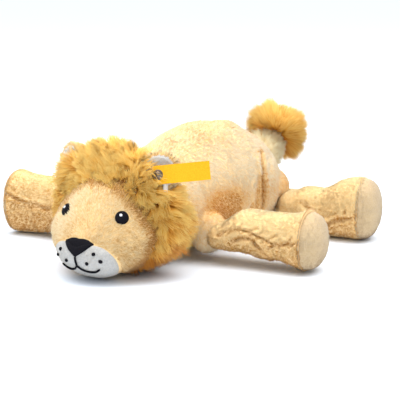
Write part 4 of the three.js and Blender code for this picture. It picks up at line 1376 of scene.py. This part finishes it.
def lathed(profile, where, place=(0, 0, 0), sides=LATHE_SIDES, wobble=0.0):
    """A form turned about the ear's Y, from places of (radius, along Y)."""
    verts = []
    for radius, y in profile:
        for j in range(sides):
            a = 2 * math.pi * j / sides
            r = radius * (1 + wobble * math.sin(3 * a + 1))
            x, z = place[0] + r * math.cos(a), place[2] + r * math.sin(a)
            verts.append(where @ Vector((x, place[1] + y, z)))
    mesh = outward(mesh_of("lathed", verts, grid_faces(len(profile), sides)))
    smoothed(mesh)
    return mesh


def ears():
    for word, side in SIDES.items():
        where = ear_frame(side)
        back = where.inverted()
        centre = np.array(where.translation)

        def rim_only(points, normals):
            local = points @ np.array(back.to_3x3()).T + np.array(back.translation)
            off = np.hypot(local[:, 0], local[:, 2])
            return ((off > EAR["lining"] * RIM_SHARE) | (local[:, 1] < 0)) * 1.0

        def front_only(points, normals):
            return (normals @ np.array(where.to_3x3() @ Vector((0, 1, 0))) > 0) * 1.0

        def comb(kind):
            return lambda points, normals: unit(points - centre) + COMB_SWIRLS[kind] * swirl(points, kind)

        shell = lathed(EAR_SHELL, where, wobble=EAR["wobble"])
        dress(f"ear_{word}_skin", shell, "head", "ear_skin", (f"ear_{word}",))
        pile(f"ear_{word}_pile", "head", shell, "ear", comb("ear"), rim_only, even_tone("ear"))
        name = f"ear_lining_{word}"
        lining = lathed(EAR_LINING, where, wobble=EAR["wobble"])
        dress(name + "_skin", lining, "head", "lining_skin", (name,))
        pile(name + "_pile", "head", lining, "lining", comb("lining"), front_only)


def tag_and_rivet():
    where = ear_frame(1)
    rise = Matrix.Rotation(math.radians(TAG["rise"]), 4, "Y")
    middle = TAG["hem"] - TAG["length"] / 2
    tag = ribbon("tag", where, rise, TAG["length"], TAG["width"], middle, "ear_tag")
    low = Matrix.Translation((
        -RIVET["radius"] - LABEL["width"] / 2, 0, -TAG["width"] / 2 - LABEL["length"] / 2 + LABEL["tuck"]))
    ribbon("label", where, low, LABEL["width"], LABEL["length"], 0, "care_label")
    for name, profile, y, node in (
        ("rivet_head", RIVET_HEAD, RIVET["front"], "tag_rivet"),
        ("washer_ring", WASHER, RIVET["washer_back"], "rivet_washer"),
    ):
        mesh = lathed(profile, where, (0, y, -TAG["drop"]), RIVET["sides"])
        dress(name, mesh, "head", "rivet_metal", (node,))


def ribbon(slot, where, turn, length, width, middle, node):
    """A flat woven strip with a slight wave, in the ear's frame."""
    along, across = RIBBON_STEPS
    turns, start, dent, dent_at, dent_width, slant = WAVE_SHARES
    verts = []
    for i in range(along + 1):
        u = i / along
        for layer, steps in ((0.5, range(across + 1)), (-0.5, range(across, -1, -1))):
            for j in steps:
                v = j / across - 0.5
                dip = dent * math.exp(-(((u - dent_at) / dent_width) ** 2)) * (slant + v)
                y = WAVE_HEIGHTS[slot] * (math.sin(u * turns + start) - dip) + layer * TAG["thickness"]
                place = turn @ Vector((middle + (0.5 - u) * length, y, v * width))
                verts.append(where @ (place + Vector((0, TAG["front"], -TAG["drop"]))))
    row = 2 * (across + 1)
    faces = grid_faces(along + 1, row)
    for first in (0, along * row):
        for j in range(across):
            faces.append((first + j, first + j + 1, first + row - 2 - j, first + row - 1 - j))
    name = slot + "_ribbon"
    return dress(name, outward(mesh_of(name, verts, faces)), "head", name, (node,))


def tail():
    tip = TAIL_ROOT + Vector((0, TAIL["run"], TAIL["rise"]))
    middle = (TAIL_ROOT + tip) / 2 - Vector((0, 0, TAIL["sag"]))
    at = np.linspace(0, 1, TAIL_STEPS)
    line = smooth_values((0, 0.5, 1), [tuple(TAIL_ROOT), tuple(middle), tuple(tip)], at)
    end = np.clip(np.abs(at * 2 - 1) - (1 - TAIL_CAP_SHARE), 0, 1) / TAIL_CAP_SHARE
    radii = (TAIL["radius"] - PILE_DEPTH["tail"]) * np.sqrt(np.clip(1 - end**2, TAIL_END_SHARE, 1))
    verts, faces = [], []
    add_tube(verts, faces, line, radii, TAIL_STEPS, (0, 0, 1))
    mesh = outward(mesh_of("tail", verts, faces))
    padded_skin("tail_skin", mesh, "tail", "plush_skin", ("tail_cover", "tail_filling"))
    pile("tail_pile", "tail", mesh, "tail", toward("tail"), tone=even_tone("tail"))
    place = TAIL_ROOT + Vector((TUFT["sideways"], TUFT["run"], TUFT["rise"])) + Vector(TUFT["core_shift"])
    core = ellipsoid(place, [TUFT["core"]] * 3)
    # The tuft's core wears the mane's dark skin, painted shade where the hairs root.
    padded_skin("tuft_skin", core, "tail", "mane_skin", ("tail_tuft",))
    stem_way = np.array((tip - middle).normalized())

    def off_stem(points, normals):
        return share_of(normals @ stem_way, STEM["from"], STEM["to"])

    def comb(points, normals):
        straight = np.broadcast_to(stem_way, points.shape) * STEM["comb"]
        return straight + COMB_SWIRLS["tuft"] * swirl(points, "tuft_comb")

    def longer(points, normals):
        turn = np.degrees(np.arctan2(normals[:, 2], normals @ TUFT_ACROSS))
        uneven = 1 + TUFT_UNEVEN_SHARE * noise(normals, "tuft")
        for middle_turn, reach, share in TUFT_SHARES:
            uneven += share * bell(turn - middle_turn, reach)
        return uneven

    pile("tuft_pile", "tail", core, "tuft", comb, off_stem, even_tone("tuft"), longer)


def aimed(name, data, place):
    """A lamp or the camera at a place, looking at the toy."""
    made = object_of(name, data)
    made.location = place
    made.rotation_euler = (Vector(CAMERA["target"]) - made.location).to_track_quat("-Z", "Y").to_euler()
    return made


def studio():
    corners = [(x * FLOOR_REACH, y * FLOOR_REACH, 0) for x, y in ((-1, -1), (1, -1), (1, 1), (-1, 1))]
    floor = object_of("floor", mesh_of("floor", corners, [(0, 1, 2, 3)]))
    levels = {"Base Color": (*FLOOR_COLOR, 1), "Roughness": FLOOR_ROUGHNESS}
    floor.data.materials.append(new_material("floor", levels)[0])
    bpy.context.scene.world = dome()
    for key in KEYS:
        light = bpy.data.lights.new(key["name"], "AREA")
        light.size = key["size"]
        light.energy = key["power"]
        aimed(key["name"], light, key["place"])


def dome():
    """A soft white dome, brightest overhead."""
    world = bpy.data.worlds.new("studio")
    world.use_nodes = True
    nodes, links = world.node_tree.nodes, world.node_tree.links
    coordinates = nodes.new("ShaderNodeTexCoord")
    split = nodes.new("ShaderNodeSeparateXYZ")
    links.new(coordinates.outputs["Generated"], split.inputs[0])
    level = ramp(nodes, DOME_STOPS, (DOME_LOW, DOME_LOW, DOME_HIGH))
    links.new(split.outputs["Z"], level.inputs[0])
    links.new(level.outputs[0], nodes["Background"].inputs["Color"])
    nodes["Background"].inputs["Strength"].default_value = DOME_STRENGTH
    return world


def camera():
    a, e = math.radians(CAMERA["azimuth"]), math.radians(CAMERA["elevation"])
    back = Vector((math.sin(a) * math.cos(e), -math.cos(a) * math.cos(e), math.sin(e)))
    lens = bpy.data.cameras.new("camera")
    lens.lens = CAMERA["lens"]
    lens.sensor_width = CAMERA["sensor"]
    lens.clip_start, lens.clip_end = CAMERA["clip"]
    bpy.context.scene.camera = aimed("camera", lens, Vector(CAMERA["target"]) + back * CAMERA["distance"])
    bpy.context.scene.view_settings.view_transform = "Standard"


camera()
studio()
torso()
face(head())
mane()
ears()
tag_and_rivet()
for leg_name in LEG_FORMS:
    leg(leg_name)
tail()
